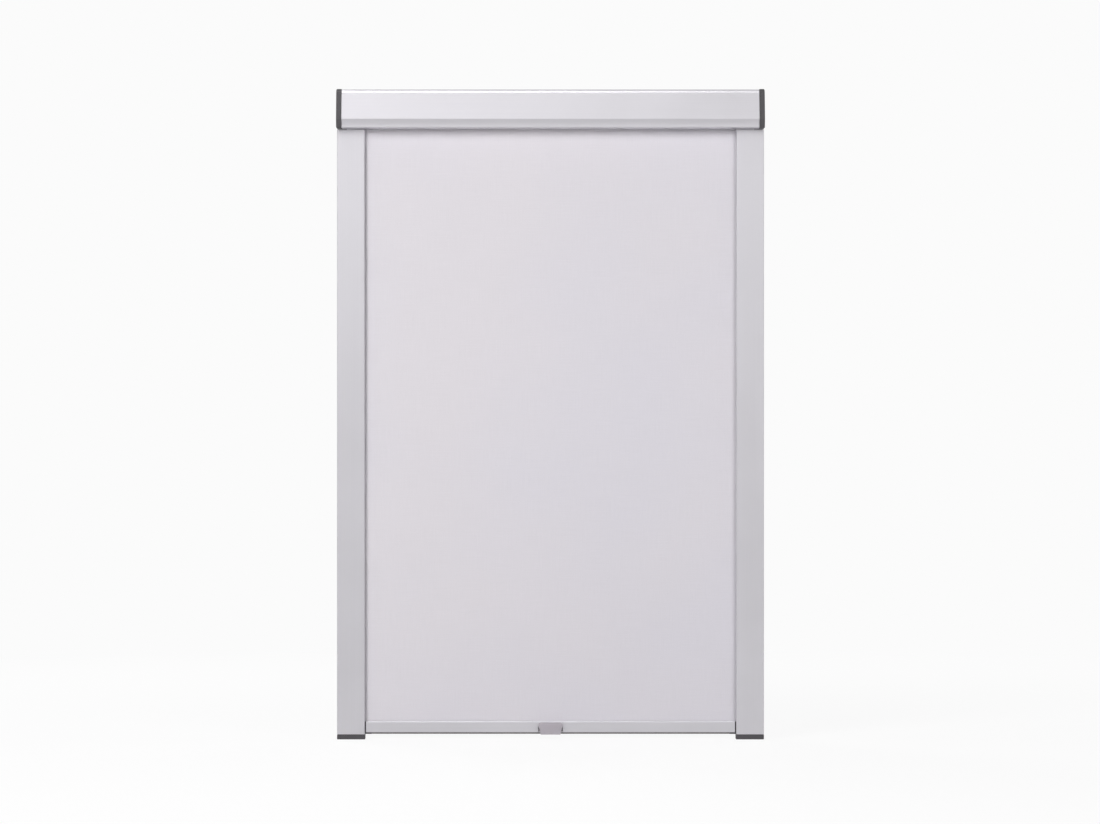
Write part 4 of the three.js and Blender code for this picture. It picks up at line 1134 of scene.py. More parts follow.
@dataclass
class Headbox:
    """The cover and the back that hook together, the pile along the slot and the clips behind."""

    height: float = 55.4
    wall: float = 1.4
    face_top: float = 38.2  # depth where the face would meet the top if that edge were sharp
    edge_radius: float = 8.0
    nose: Span = (47.2, 12.3)  # depth and height of the lower edge of the face
    nose_radius: float = 1.3
    cove_sag: float = 0.85
    lip: Span = (43.4, 2.6)
    lip_radius: float = 1.2
    slot_depth: float = 15.2
    turn_up: float = 5.2
    turn_up_radius: float = 1.1
    end_ease: float = 0.4  # of the cover's sawn ends
    seat: float = 0.3
    back_wall: float = 1.4
    groove_depth: float = 4.0
    back_lip: float = 9.0
    flange_reach: float = 14.3
    hook_wall: float = 1.2
    hook_reach: float = 4.8
    hook_radius: float = 0.8
    port_bore: float = 1.55
    port_radius: float = 2.9
    port_mouth: float = 70.0
    port_sunk: float = 0.6

    def __post_init__(self) -> None:
        """Takes the place of the headbox from the frame."""
        self.bottom = low("headbox_cover").z
        self.ends = (low("headbox_cover").x, high("headbox_cover").x)
        self.flange_top = self.height - self.wall - self.seat
        self.lip_middle = self.flange_top - self.back_lip / 2
        self.rear_front = 2 * self.back_wall + self.groove_depth

    def ports(self) -> dict[str, tuple[Span, float]]:
        """Places the three screw grooves.

        Returns:
            The middle of each groove and the way that its mouth faces, in degrees.
        """
        radius = self.port_radius
        root = radius - self.port_sunk  # from the wall that a groove stands on to its middle
        return {
            "rear": ((self.rear_front + root, self.lip_middle - radius), 0.0),
            "top": ((self.face_top - self.edge_radius, self.height - self.wall - root), -90.0),
            "front": ((self.lip[0] - self.wall - radius - self.port_sunk, self.wall + root), 90.0),
        }

    def port(self, name: str) -> bpy.types.Mesh:
        """Makes one screw groove, a little short of the profile's ends.

        Args:
            name: which groove.

        Returns:
            The groove's mesh.
        """
        centre, faces = self.ports()[name]
        line = c_groove(centre, self.port_bore, self.port_radius, faces, self.port_mouth)
        return profile(line, Run.ACROSS, self.short_ends(), self.bottom)

    def short_ends(self) -> Span:
        """Gives the ends of what lies inside the profiles."""
        return (self.ends[0] + 2 * self.end_ease, self.ends[1] - 2 * self.end_ease)

    def cover(self) -> bpy.types.Mesh:
        """Makes the cover: top, leaning face, nose, cove, lip and bottom wall up to the fabric slot.

        Returns:
            The cover with its hook and two screw grooves.
        """
        inset = self.wall / 2
        nose = (self.nose[0] - inset, self.nose[1], self.nose_radius)
        lip = (self.lip[0] - inset, self.lip[1])
        line = rounded(
            [
                (0.0, self.height - inset),
                (self.face_top - inset, self.height - inset, self.edge_radius - inset),
                nose,
                *sagging(nose[:2], lip, self.cove_sag, 12),
                lip,
                (self.lip[0] - inset, inset, self.lip_radius),
                (self.slot_depth, inset, self.turn_up_radius),
                (self.slot_depth, self.turn_up),
            ],
            closed=False,
        )
        shell = eased(profile(strip(line, self.wall), Run.ACROSS, self.ends, self.bottom), self.end_ease, 3)
        under = self.flange_top - self.back_wall - self.seat - self.hook_wall / 2
        depth = self.flange_reach + self.seat + self.hook_wall / 2
        tip = depth - self.hook_reach
        corners = [(depth, self.height - inset), (depth, under, self.hook_radius), (tip, under)]
        hook = strip(rounded(corners, closed=False), self.hook_wall)
        rib = profile(hook, Run.ACROSS, self.short_ends(), self.bottom)
        return carved(shell, join=[rib, self.port("top"), self.port("front")])

    def rear(self) -> bpy.types.Mesh:
        """Makes the back profile: rear wall, two flanges and the lips that hook over the clips.

        Returns:
            The back with its screw groove.
        """
        wall, front, top = self.back_wall, self.rear_front, self.flange_top
        groove, edge, fillet = front - wall, 0.25, 0.5
        line = rounded(
            [
                (0.0, 0.0, edge),
                (front, 0.0, edge),
                (front, top - wall, fillet),
                (self.flange_reach, top - wall, edge),
                (self.flange_reach, top, edge),
                (0.0, top, edge),
                (0.0, top - self.back_lip, edge),
                (wall, top - self.back_lip, edge),
                (wall, top - wall, fillet),
                (groove, top - wall, fillet),
                (groove, wall, fillet),
                (wall, wall, fillet),
                (wall, self.back_lip, edge),
                (0.0, self.back_lip, edge),
            ]
        )
        body = profile(line, Run.ACROSS, self.ends, self.bottom)
        return carved(body, join=[self.port("rear")])

    def pile_tree(self) -> bpy.types.NodeTree:
        """Builds the tree that grows bristles from the rows of points along the backing strip.

        Returns:
            The tree.
        """
        recipe = Recipe("slot_pile")
        rows = recipe.source.outputs["Geometry"]
        strand = recipe.add(
            "GeometryNodeMeshCone",
            {
                "Vertices": 4,
                "Side Segments": 1,
                "Fill Segments": 1,
                "Radius Top": recipe.takes("Tip radius"),
                "Radius Bottom": recipe.takes("Root radius"),
                "Depth": recipe.takes("Length"),
            },
        ).outputs["Mesh"]
        lean = recipe.takes("Lean")
        low_lean = recipe.math("MULTIPLY", lean, -1.0)
        seed = recipe.takes("Seed", "Int")
        pick = {2: low_lean, 3: lean, "Seed": seed}
        side = recipe.add("FunctionNodeRandomValue", pick, data_type="FLOAT").outputs[1]
        other = {**pick, "Seed": recipe.math("ADD", seed, 1.0)}
        rise = recipe.add("FunctionNodeRandomValue", other, data_type="FLOAT").outputs[1]
        facing = recipe.vector(side, 1.0, rise)
        turn = recipe.facing(facing)
        short = {2: recipe.takes("Shortest"), 3: 1.0, "Seed": seed}
        share = recipe.add("FunctionNodeRandomValue", short, data_type="FLOAT").outputs[1]
        size = recipe.vector(1.0, 1.0, share)
        placed = {"Points": rows, "Instance": strand, "Rotation": turn, "Scale": size}
        recipe.ends(recipe.add("GeometryNodeInstanceOnPoints", placed).outputs[0])
        return recipe.tree

    def pile(self) -> bpy.types.Mesh:
        """Makes the light seal: a backing strip with rows of bristles that reach for the fabric.

        Returns:
            The seal's mesh.
        """
        start, end = low("slot_brush"), high("slot_brush")
        backing, reach = 0.9, -start.y + end.y
        rows, along, margin = 4, 0.75, 0.45
        count = int((end.x - start.x - 2 * margin) / along)
        points = []
        for row in range(rows):
            z = start.z + margin + (end.z - start.z - 2 * margin) * row / (rows - 1)
            for i in range(count):
                x = start.x + margin + along * (i + 0.5 * (row % 2))
                points.append(Vector((x, start.y + backing, z)) * MM)
        roots = bpy.data.meshes.new("roots")
        roots.from_pydata(points, [], [])
        sizes = {"Tip radius": 0.07 * MM, "Root radius": 0.2 * MM, "Length": (reach - backing - 0.1) * MM}
        values = {**sizes, "Lean": 0.07, "Shortest": 0.93, "Seed": 7}
        strands = grown("strands", roots, self.pile_tree(), values)
        heights = (start.z - self.bottom, end.z - self.bottom)
        depths = (-start.y - backing, -start.y)
        strip_mesh = block((start.x, end.x), depths, heights, self.bottom)
        return joined([strip_mesh, strands])

    def build(self) -> None:
        """Builds and mounts the headbox."""
        mount("cover", self.cover(), SILVER_ACROSS, "frame", "headbox_cover")
        mount("back", self.rear(), SILVER_ACROSS, "frame", "headbox_back")
        mount("slot_pile", self.pile(), PILE, "frame", "slot_brush")
        for side, _ in SIDES:
            softened(f"sash_clip_{side}", ZINC, "frame", 0.2)


def joined(meshes: Sequence[bpy.types.Mesh]) -> bpy.types.Mesh:
    """Puts several closed meshes into one.

    Args:
        meshes: the meshes.

    Returns:
        The one mesh.
    """
    work = bmesh.new()
    for mesh in meshes:
        work.from_mesh(mesh)
    mesh = bpy.data.meshes.new("joined")
    work.to_mesh(mesh)
    work.free()
    return mesh


@dataclass
class EndCaps:
    """The moulded caps that close the headbox, carry the roller and plug into the rails."""

    headbox: Headbox
    proud: float = 0.6
    skin: float = 2.2
    rim: float = 2.2
    corner: float = 3.2
    shoulder: float = 9.0
    back_corner: float = 2.4
    edge: float = 1.6
    axis: Span = (24.6, 26.0)  # of the roller: depth, and height above the headbox's bottom
    boss: float = 7.0
    boss_reach: float = 4.1
    screw_boss: float = 3.8
    rib_reach: float = 5.0
    rib_wall: float = 1.6
    tenon_root: float = 7.0
    tenon_depths: Span = (7.1, 14.2)
    tenon_from_side: float = 1.7
    tenon_lead: float = 4.0
    tenon_radius: float = 0.6
    shaft_radius: float = 3.3  # of the blind hole that takes the rod or the pin
    hole: ScrewHole = ScrewHole()

    def corners(self, inset: float = 0.0) -> list[tuple[float, float, float]]:
        """Gives the corners of the cap's outline.

        Args:
            inset: how far the outline is moved inwards.

        Returns:
            (depth, height, radius) of each corner.
        """
        box, proud = self.headbox, self.proud
        sharp = [
            (0.0, -proud, self.back_corner),
            (box.lip[0] + proud, -proud, self.corner),
            (box.nose[0] + proud, box.nose[1], self.shoulder),
            (box.face_top + proud, box.height + proud, self.shoulder),
            (0.0, box.height + proud, self.back_corner),
        ]
        line = moved([Vector(corner[:2]) for corner in sharp], inset, closed=True)
        return [(p.x, p.y, max(0.2, corner[2] - inset)) for p, corner in zip(line, sharp, strict=True)]

    def ribs(self, inner: float, floor: float) -> list[bpy.types.Mesh]:
        """Makes the ribs that locate the cap inside the face, the bottom wall and the rear wall.

        Args:
            inner: where the cap meets the profiles.
            floor: where the ribs end inside the cap.

        Returns:
            One mesh for each rib.
        """
        box, ports = self.headbox, self.headbox.ports()
        inset = box.wall + box.seat + self.rib_wall / 2
        past_port = box.port_radius + self.rib_wall
        lean = (box.nose[0] - box.face_top) / (box.height - box.nose[1])
        rear, top, front = (ports[name][0] for name in ("rear", "top", "front"))
        high_end = top[1] - past_port
        face = [
            (box.nose[0] - inset - box.cove_sag, box.nose[1]),
            (box.nose[0] - inset - box.cove_sag / 2 - lean * (high_end - box.nose[1]), high_end),
        ]
        bottom = [(box.slot_depth + inset, inset), (front[0] - past_port, inset)]
        behind = box.rear_front + box.seat + self.rib_wall / 2
        back = [(behind, self.axis[1]), (behind, rear[1] - past_port)]
        lines = ([Vector(point) for point in line] for line in (face, bottom, back))
        span = (inner - self.rib_reach, floor)
        return [profile(strip(line, self.rib_wall), Run.ACROSS, span, box.bottom) for line in lines]

    def cap(self) -> bpy.types.Mesh:
        """Makes the right cap.

        Returns:
            The cap with its tongue, bosses, ribs and holes.
        """
        inner = high("headbox_cover").x + self.headbox.seat
        outer = high("end_cap_right").x
        bottom, floor = self.headbox.bottom, outer - self.skin
        tray = slab(rounded(self.corners()), Run.ACROSS, (inner, outer), bottom, (False, True), self.edge)
        well = profile(rounded(self.corners(self.rim)), Run.ACROSS, (inner - OVERRUN, floor), bottom)
        into = floor + self.skin / 2
        bosses = [pin(self.boss, Run.ACROSS, self.axis, (inner - self.boss_reach, into), bottom)]
        ways, sinks = [], []
        for centre, _ in self.headbox.ports().values():
            bosses.append(pin(self.screw_boss, Run.ACROSS, centre, (inner, into), bottom))
            ways.append(self.hole.way(Run.ACROSS, centre, (inner - OVERRUN, outer + OVERRUN), bottom))
            sinks.append(self.hole.sink(Run.ACROSS, centre, outer, 1, bottom))
        shaft_ends = (inner - self.boss_reach - OVERRUN, floor)
        shaft = pin(self.shaft_radius, Run.ACROSS, self.axis, shaft_ends, bottom)
        hollow = carved(tray, cut=[well])
        parts = [*bosses, *self.ribs(inner, into), self.tenon()]
        return carved(hollow, join=parts, cut=[*ways, *sinks, shaft])

    def tenon(self) -> bpy.types.Mesh:
        """Makes the tongue under the right cap that slides into the rail.

        Returns:
            The tongue's mesh.
        """
        start, end = low("end_cap_right"), high("end_cap_right")
        x0, x1 = start.x, end.x - self.tenon_from_side
        tip, lead = start.z - self.headbox.bottom, self.tenon_lead
        outline = [
            (x0, self.tenon_root),
            (x0, tip + lead),
            (x0 + lead / 2, tip, self.tenon_radius),
            (x1 - lead / 2, tip, self.tenon_radius),
            (x1, tip + lead),
            (x1, self.tenon_root),
        ]
        return profile(rounded(outline), Run.OUT, self.tenon_depths, self.headbox.bottom)

    def build(self) -> None:
        """Builds and mounts both caps."""
        cap = self.cap()
        mount("cap_left", mirrored(cap), DARK_MOULDED, "frame", "end_cap_left")
        mount("cap_right", cap, DARK_MOULDED, "frame", "end_cap_right")


@dataclass
class Rails:
    """The side rails, whose lips hold the glides, and the feet that close them."""

    wall: float = 1.4
    width: float = 40.0
    chamber: float = 12.6
    mouth: float = 8.0
    outer_radius: float = 1.0
    lip_radius: float = 2.0
    inner_radius: float = 0.35
    hole_radius: float = 2.1
    sink_radius: float = 3.6
    hole_from_end: float = 46.0
    holes: int = 3
    port_bore: float = 1.55
    port_radius: float = 2.9
    port_depth: float = 3.7
    port_faces: float = 90.0
    port_mouth: float = 70.0
    end_ease: float = 0.4
    seat: float = 0.3
    foot_edge: float = 0.9
    foot_thickness: float = 7.0
    foot_corner: float = 1.05
    plug_radius: float = 0.5
    hole: ScrewHole = ScrewHole()

    def __post_init__(self) -> None:
        """Takes the rails' place from the frame."""
        start, end = low("rail_right"), high("rail_right")
        self.outer, self.flange = end.x, start.x
        self.depth = -start.y
        self.inner = self.outer - self.width
        self.span = (start.z, end.z)
        self.divider = self.outer - self.wall - self.chamber
        self.port = ((self.divider + self.outer - self.wall) / 2, self.port_depth)

    def drilled_tree(self) -> bpy.types.NodeTree:
        """Builds the tree that drills an even row of countersunk holes along the rail's flange.

        Returns:
            The tree.
        """
        recipe = Recipe("drilled_flange")
        row = recipe.add(
            "GeometryNodeMeshLine",
            {
                "Count": recipe.takes("Holes", "Int"),
                "Start Location": recipe.takes("First", "Vector"),
                "Offset": recipe.takes("Pitch", "Vector"),
            },
        ).outputs[0]
        tools = recipe.tree.nodes.new("GeometryNodeJoinGeometry")
        wall = recipe.takes("Wall")
        deep = recipe.math("MULTIPLY", wall, 3.0)
        bore, sink = recipe.takes("Bore"), recipe.takes("Sink")
        sizes = {"Vertices": 40, "Side Segments": 1, "Fill Segments": 1}
        drill = {**sizes, "Radius Top": bore, "Radius Bottom": bore, "Depth": deep}
        past = recipe.math("MULTIPLY", wall, 0.25)
        widening = recipe.math("MULTIPLY", recipe.math("SUBTRACT", sink, bore), 0.25)
        cone = {
            **sizes,
            "Radius Top": recipe.math("ADD", sink, widening),
            "Radius Bottom": recipe.math("SUBTRACT", bore, widening),
            "Depth": recipe.math("MULTIPLY", wall, 1.5),
        }
        before = recipe.math("MULTIPLY", past, -0.5)  # so the sink ends a little short of the rear face
        for values, start in ((drill, recipe.math("MULTIPLY", wall, -1.0)), (cone, before)):
            tool = recipe.add("GeometryNodeMeshCone", values).outputs["Mesh"]
            place = {"Geometry": tool, "Translation": recipe.vector(z=start)}
            recipe.tree.links.new(recipe.add("GeometryNodeTransform", place).outputs[0], tools.inputs[0])
        turn = recipe.facing((0.0, -1.0, 0.0))
        placed = {"Points": row, "Instance": tools.outputs[0], "Rotation": turn}
        cutters = recipe.add("GeometryNodeInstanceOnPoints", placed).outputs[0]
        real = recipe.add("GeometryNodeRealizeInstances", {"Geometry": cutters}).outputs[0]
        cut = recipe.add("GeometryNodeMeshBoolean", operation="DIFFERENCE", solver="EXACT")
        cut.inputs["Self Intersection"].default_value = True
        recipe.tree.links.new(recipe.source.outputs["Geometry"], cut.inputs["Mesh 1"])
        recipe.tree.links.new(real, cut.inputs["Mesh 2"])
        weld = {"Geometry": cut.outputs["Mesh"], "Distance": recipe.takes("Weld")}
        recipe.ends(recipe.add("GeometryNodeMergeByDistance", weld).outputs[0])
        return recipe.tree

    def rail(self) -> bpy.types.Mesh:
        """Makes the right rail: a hollow, a channel with lips and a screw flange.

        Returns:
            The drilled rail with its screw groove.
        """
        middle, small = self.depth / 2, self.inner_radius
        lip, front = self.inner + self.wall, self.depth - self.wall
        mouth = (middle - self.mouth / 2, middle + self.mouth / 2)
        outline = rounded(
            [
                (self.outer, 0.0, self.outer_radius),
                (self.outer, self.depth, self.outer_radius),
                (self.inner, self.depth, self.lip_radius),
                (self.inner, mouth[1], small),
                (lip, mouth[1], small),
                (lip, front, small),
                (self.divider - self.wall, front, small),
                (self.divider - self.wall, self.wall, small),
                (lip, self.wall, small),
                (lip, mouth[0], small),
                (self.inner, mouth[0], small),
                (self.inner, self.wall, small),
                (self.flange, self.wall, small),
                (self.flange, 0.0, small),
            ]
        )
        hollow = rectangle((self.divider, self.outer - self.wall), (self.wall, front), small)
        body = profile(outline, Run.UP, self.span, hole=hollow)
        first = self.span[0] + self.hole_from_end
        pitch = (self.span[1] - self.hole_from_end - first) / (self.holes - 1)
        x = (self.flange + self.inner) / 2
        values = {
            "Holes": self.holes,
            "First": Vector((x, 0.0, first)) * MM,
            "Pitch": Vector((0.0, 0.0, pitch)) * MM,
            "Wall": self.wall * MM,
            "Bore": self.hole_radius * MM,
            "Sink": self.sink_radius * MM,
            "Weld": WELD,
        }
        drilled = grown("rail", body, self.drilled_tree(), values)
        groove = c_groove(self.port, self.port_bore, self.port_radius, self.port_faces, self.port_mouth)
        short = (self.span[0] + 2 * self.end_ease, self.span[1] - 2 * self.end_ease)
        return carved(drilled, join=[profile(groove, Run.UP, short)])

    def foot(self) -> bpy.types.Mesh:
        """Makes the right foot: a plate with rounded edges and a plug in the rail's hollow.

        Returns:
            The foot with its screw hole.
        """
        start, end = low("rail_foot_right"), high("rail_foot_right")
        outline = rectangle((start.x, end.x), (0.0, -start.y), self.foot_corner)
        top, inset = start.z + self.foot_thickness, self.wall + self.seat
        plate = slab(outline, Run.UP, (start.z, top), 0.0, (True, True), self.foot_edge)
        plug_x = (self.divider + self.seat, self.outer - inset)
        plug_line = rectangle(plug_x, (inset, self.depth - inset), self.plug_radius)
        plug = profile(plug_line, Run.UP, (start.z + self.foot_edge, end.z))
        clear = pin(self.port_radius + self.seat, Run.UP, self.port, (top, end.z + OVERRUN))
        way = self.hole.way(Run.UP, self.port, (start.z - OVERRUN, top + OVERRUN))
        sink = self.hole.sink(Run.UP, self.port, start.z, -1)
        return carved(plate, join=[carved(plug, cut=[clear])], cut=[way, sink])

    def build(self) -> None:
        """Builds and mounts both rails and their feet."""
        rail, foot = self.rail(), self.foot()
        mount("rail_profile_left", mirrored(rail), SILVER_UP, "frame", "rail_left")
        mount("rail_profile_right", rail, SILVER_UP, "frame", "rail_right")
        mount("foot_left", mirrored(foot), DARK_MOULDED, "frame", "rail_foot_left")
        mount("foot_right", foot, DARK_MOULDED, "frame", "rail_foot_right")


@dataclass
class Screws:
    """The countersunk tapping screws of the caps and the feet."""

    head_radius: float = 3.1
    head_height: float = 1.7
    core: float = 1.15
    length: float = 15.0
    tip: float = 3.0
    thread_pitch: float = 1.25
    thread_height: float = 0.3
    rim: tuple[Span, ...] = ((0.06, -0.22), (0.0, -0.1), (0.12, 0.0))  # of the head: inset and height
    recess: float = 3.4
    recess_width: float = 0.9
    recess_depth: float = 1.2
    recess_taper: float = 0.62  # of the foot of the recess to its top
    recess_overrun: float = 0.3
    point: float = 0.2  # of the tip's radius to the core's
    plain_rows: int = 6  # rows under the head without a thread

    def shape(self) -> bpy.types.Mesh:
        """Makes one screw along Z, its head's face at zero: head, threaded shank and a cross recess.

        Returns:
            The screw's mesh.
        """
        sides, rows = 24, 60
        rings = []
        for i in range(rows + 1):
            z = -self.head_height - self.length * (1 - i / rows)
            along = (z + self.head_height + self.length) / self.tip
            taper = min(1.0, along * (1 - self.point) + self.point)
            ring = []
            for k in range(sides):
                turn = 2 * math.pi * k / sides
                phase = (z / self.thread_pitch - k / sides) % 1.0
                threaded = i < rows - self.plain_rows
                ridge = self.thread_height * max(0.0, 1 - 4 * abs(phase - 0.5)) if threaded else 0.0
                radius = (self.core + ridge) * taper
                ring.append(Vector((radius * math.cos(turn), radius * math.sin(turn), z)) * MM)
            rings.append(ring)
        for inset, z in self.rim:
            radius = self.head_radius - inset
            turns = (2 * math.pi * k / sides for k in range(sides))
            rings.append([Vector((radius * math.cos(t), radius * math.sin(t), z)) * MM for t in turns])
        body = lofted(rings)
        arms = []
        for along, aside in ((self.recess, self.recess_width), (self.recess_width, self.recess)):
            corners = ((-1, -1), (1, -1), (1, 1), (-1, 1))
            top = [(s * along / 2, t * aside / 2, self.recess_overrun) for s, t in corners]
            foot = [(x * self.recess_taper, y * self.recess_taper, -self.recess_depth) for x, y, _ in top]
            arms.append(lofted([[Vector(p) * MM for p in foot], [Vector(p) * MM for p in top]]))
        return carved(body, cut=[carved(arms[0], join=[arms[1]])])

    def fitted_tree(self) -> bpy.types.NodeTree:
        """Builds the tree that sets a screw on each point, facing its way and turned at random.

        Returns:
            The tree.
        """
        recipe = Recipe("fitted_screws")
        screw = recipe.add("GeometryNodeObjectInfo", {"Object": recipe.takes("Screw", "Object")})
        facing = recipe.add(
            "GeometryNodeInputNamedAttribute", {"Name": "facing"}, data_type="FLOAT_VECTOR"
        ).outputs["Attribute"]
        turn = recipe.facing(facing)
        pick = {2: 0.0, 3: recipe.takes("Turn"), "Seed": recipe.takes("Seed", "Int")}
        angle = recipe.add("FunctionNodeRandomValue", pick, data_type="FLOAT").outputs[1]
        spin = {"Axis": (0.0, 0.0, 1.0), "Angle": angle}
        spun = recipe.add("FunctionNodeAxisAngleToRotation", spin).outputs[0]
        both = {"Rotation": turn, "Rotate By": spun}
        whole = recipe.add("FunctionNodeRotateRotation", both, rotation_space="LOCAL").outputs[0]
        placed = {
            "Points": recipe.source.outputs["Geometry"],
            "Instance": screw.outputs["Geometry"],
            "Rotation": whole,
        }
        recipe.ends(recipe.add("GeometryNodeInstanceOnPoints", placed).outputs[0])
        return recipe.tree

    def build(self) -> None:
        """Sets all the screws and mounts them."""
        places: list[tuple[Vector, Vector]] = []
        names = []
        for side, sign in SIDES:
            for port in ("rear", "top", "front"):
                name = f"cap_screw_{port}_{side}"
                start, end = low(name), high(name)
                face = end.x if sign > 0 else start.x
                middle = (start + end) / 2
                places.append((Vector((face, middle.y, middle.z)), Vector((sign, 0, 0))))
                names.append(name)
            name = f"foot_screw_{side}"
            start, end = low(name), high(name)
            middle = (start + end) / 2
            places.append((Vector((middle.x, middle.y, start.z)), Vector((0, 0, -1))))
            names.append(name)
        points = bpy.data.meshes.new("screw_places")
        points.from_pydata([place * MM for place, _ in places], [], [])
        facing = points.attributes.new("facing", "FLOAT_VECTOR", "POINT")
        facing.data.foreach_set("vector", [part for _, way in places for part in way])
        screw = object_of("screw", self.shape())
        values = {"Screw": screw, "Turn": 2 * math.pi, "Seed": 11}
        mesh = grown("screws", points, self.fitted_tree(), values)
        bpy.data.objects.remove(screw)
        mount("tapping_screws", mesh, ZINC, "frame", *names)


@dataclass
class Roller:
    """The roller with its spring; all of it is inside the headbox."""

    caps: EndCaps
    coil_radius: float = 6.6
    wire_radius: float = 0.8
    pitch: float = 5.0
    turns: int = 24
    wire_sides: int = 8
    thickness: float = 0.35
    wraps: float = 1.25
    wrap_pitch: float = 0.65
    leave_radius: float = 13.7875

    def wound_tree(self) -> bpy.types.NodeTree:
        """Builds the tree that winds a wire into a coil along X.

        Returns:
            The tree.
        """
        recipe = Recipe("wound_spring")
        coil = recipe.add(
            "GeometryNodeCurveSpiral",
            {
                "Resolution": recipe.takes("Steps", "Int"),
                "Rotations": recipe.takes("Turns"),
                "Start Radius": recipe.takes("Radius"),
                "End Radius": recipe.source.outputs["Radius"],
                "Height": recipe.takes("Length"),
            },
        ).outputs[0]
        wire = {"Resolution": recipe.takes("Sides", "Int"), "Radius": recipe.takes("Wire")}
        round_wire = recipe.add("GeometryNodeCurvePrimitiveCircle", wire).outputs[0]
        made = {"Curve": coil, "Profile Curve": round_wire, "Fill Caps": True}
        tube = recipe.add("GeometryNodeCurveToMesh", made).outputs[0]
        turn = recipe.facing((1.0, 0.0, 0.0))
        place = {"Geometry": tube, "Translation": recipe.takes("Start", "Vector"), "Rotation": turn}
        recipe.ends(recipe.add("GeometryNodeTransform", place).outputs[0])
        return recipe.tree

    def spring(self) -> bpy.types.Mesh:
        """Makes the torsion spring.

        Returns:
            The spring's mesh.
        """
        start, end = low("torsion_spring"), high("torsion_spring")
        middle = (start + end) / 2
        values = {
            "Steps": 28,
            "Turns": float(self.turns),
            "Radius": self.coil_radius * MM,
            "Length": self.pitch * self.turns * MM,
            "Sides": self.wire_sides,
            "Wire": self.wire_radius * MM,
            "Start": Vector((start.x + self.wire_radius, middle.y, middle.z)) * MM,
        }
        return outward(grown("spring", bpy.data.meshes.new("none"), self.wound_tree(), values))

    def roll(self) -> bpy.types.Mesh:
        """Makes the turns of cloth left on the tube, as one spiral wall.

        Returns:
            The roll's mesh.
        """
        depth, height = self.caps.axis
        centre = Vector((depth, self.caps.headbox.bottom + height))
        steps = 90
        line = []
        for i in range(steps + 1):
            turn = self.wraps * i / steps
            radius = self.leave_radius - self.wrap_pitch * turn
            angle = math.pi - 2 * math.pi * turn
            line.append(centre + Vector((math.cos(angle), math.sin(angle))) * radius)
        ends = (low("fabric_roll").x, high("fabric_roll").x)
        return profile(strip(line, self.thickness), Run.ACROSS, ends)

    def build(self) -> None:
        """Builds and mounts the roller's pieces and dresses the ones that stay."""
        mount("wound_spring", self.spring(), SPRING_WIRE, "frame", "torsion_spring")
        roll = mount("cloth_on_roller", self.roll(), CLOTH_FACE, "roller", "fabric_roll")
        softened("roller_tube", MILL_TUBE, "roller", 0.15)
        for name in ("spring_end_plug", "drive_plug", "idle_end_plug"):
            softened(name, WHITE_MOULDED, "roller", 0.25)
        softened("spring_anchor", WHITE_MOULDED, "frame", 0.25)
        softened("spring_rod", ZINC, "frame", 0.2)
        softened("idle_pin", ZINC, "frame", 0.2)
        softened("rod_retainer", SPRING_WIRE, "frame", 0.1)
        dress_node("tube_keder", WHITE_MOULDED)


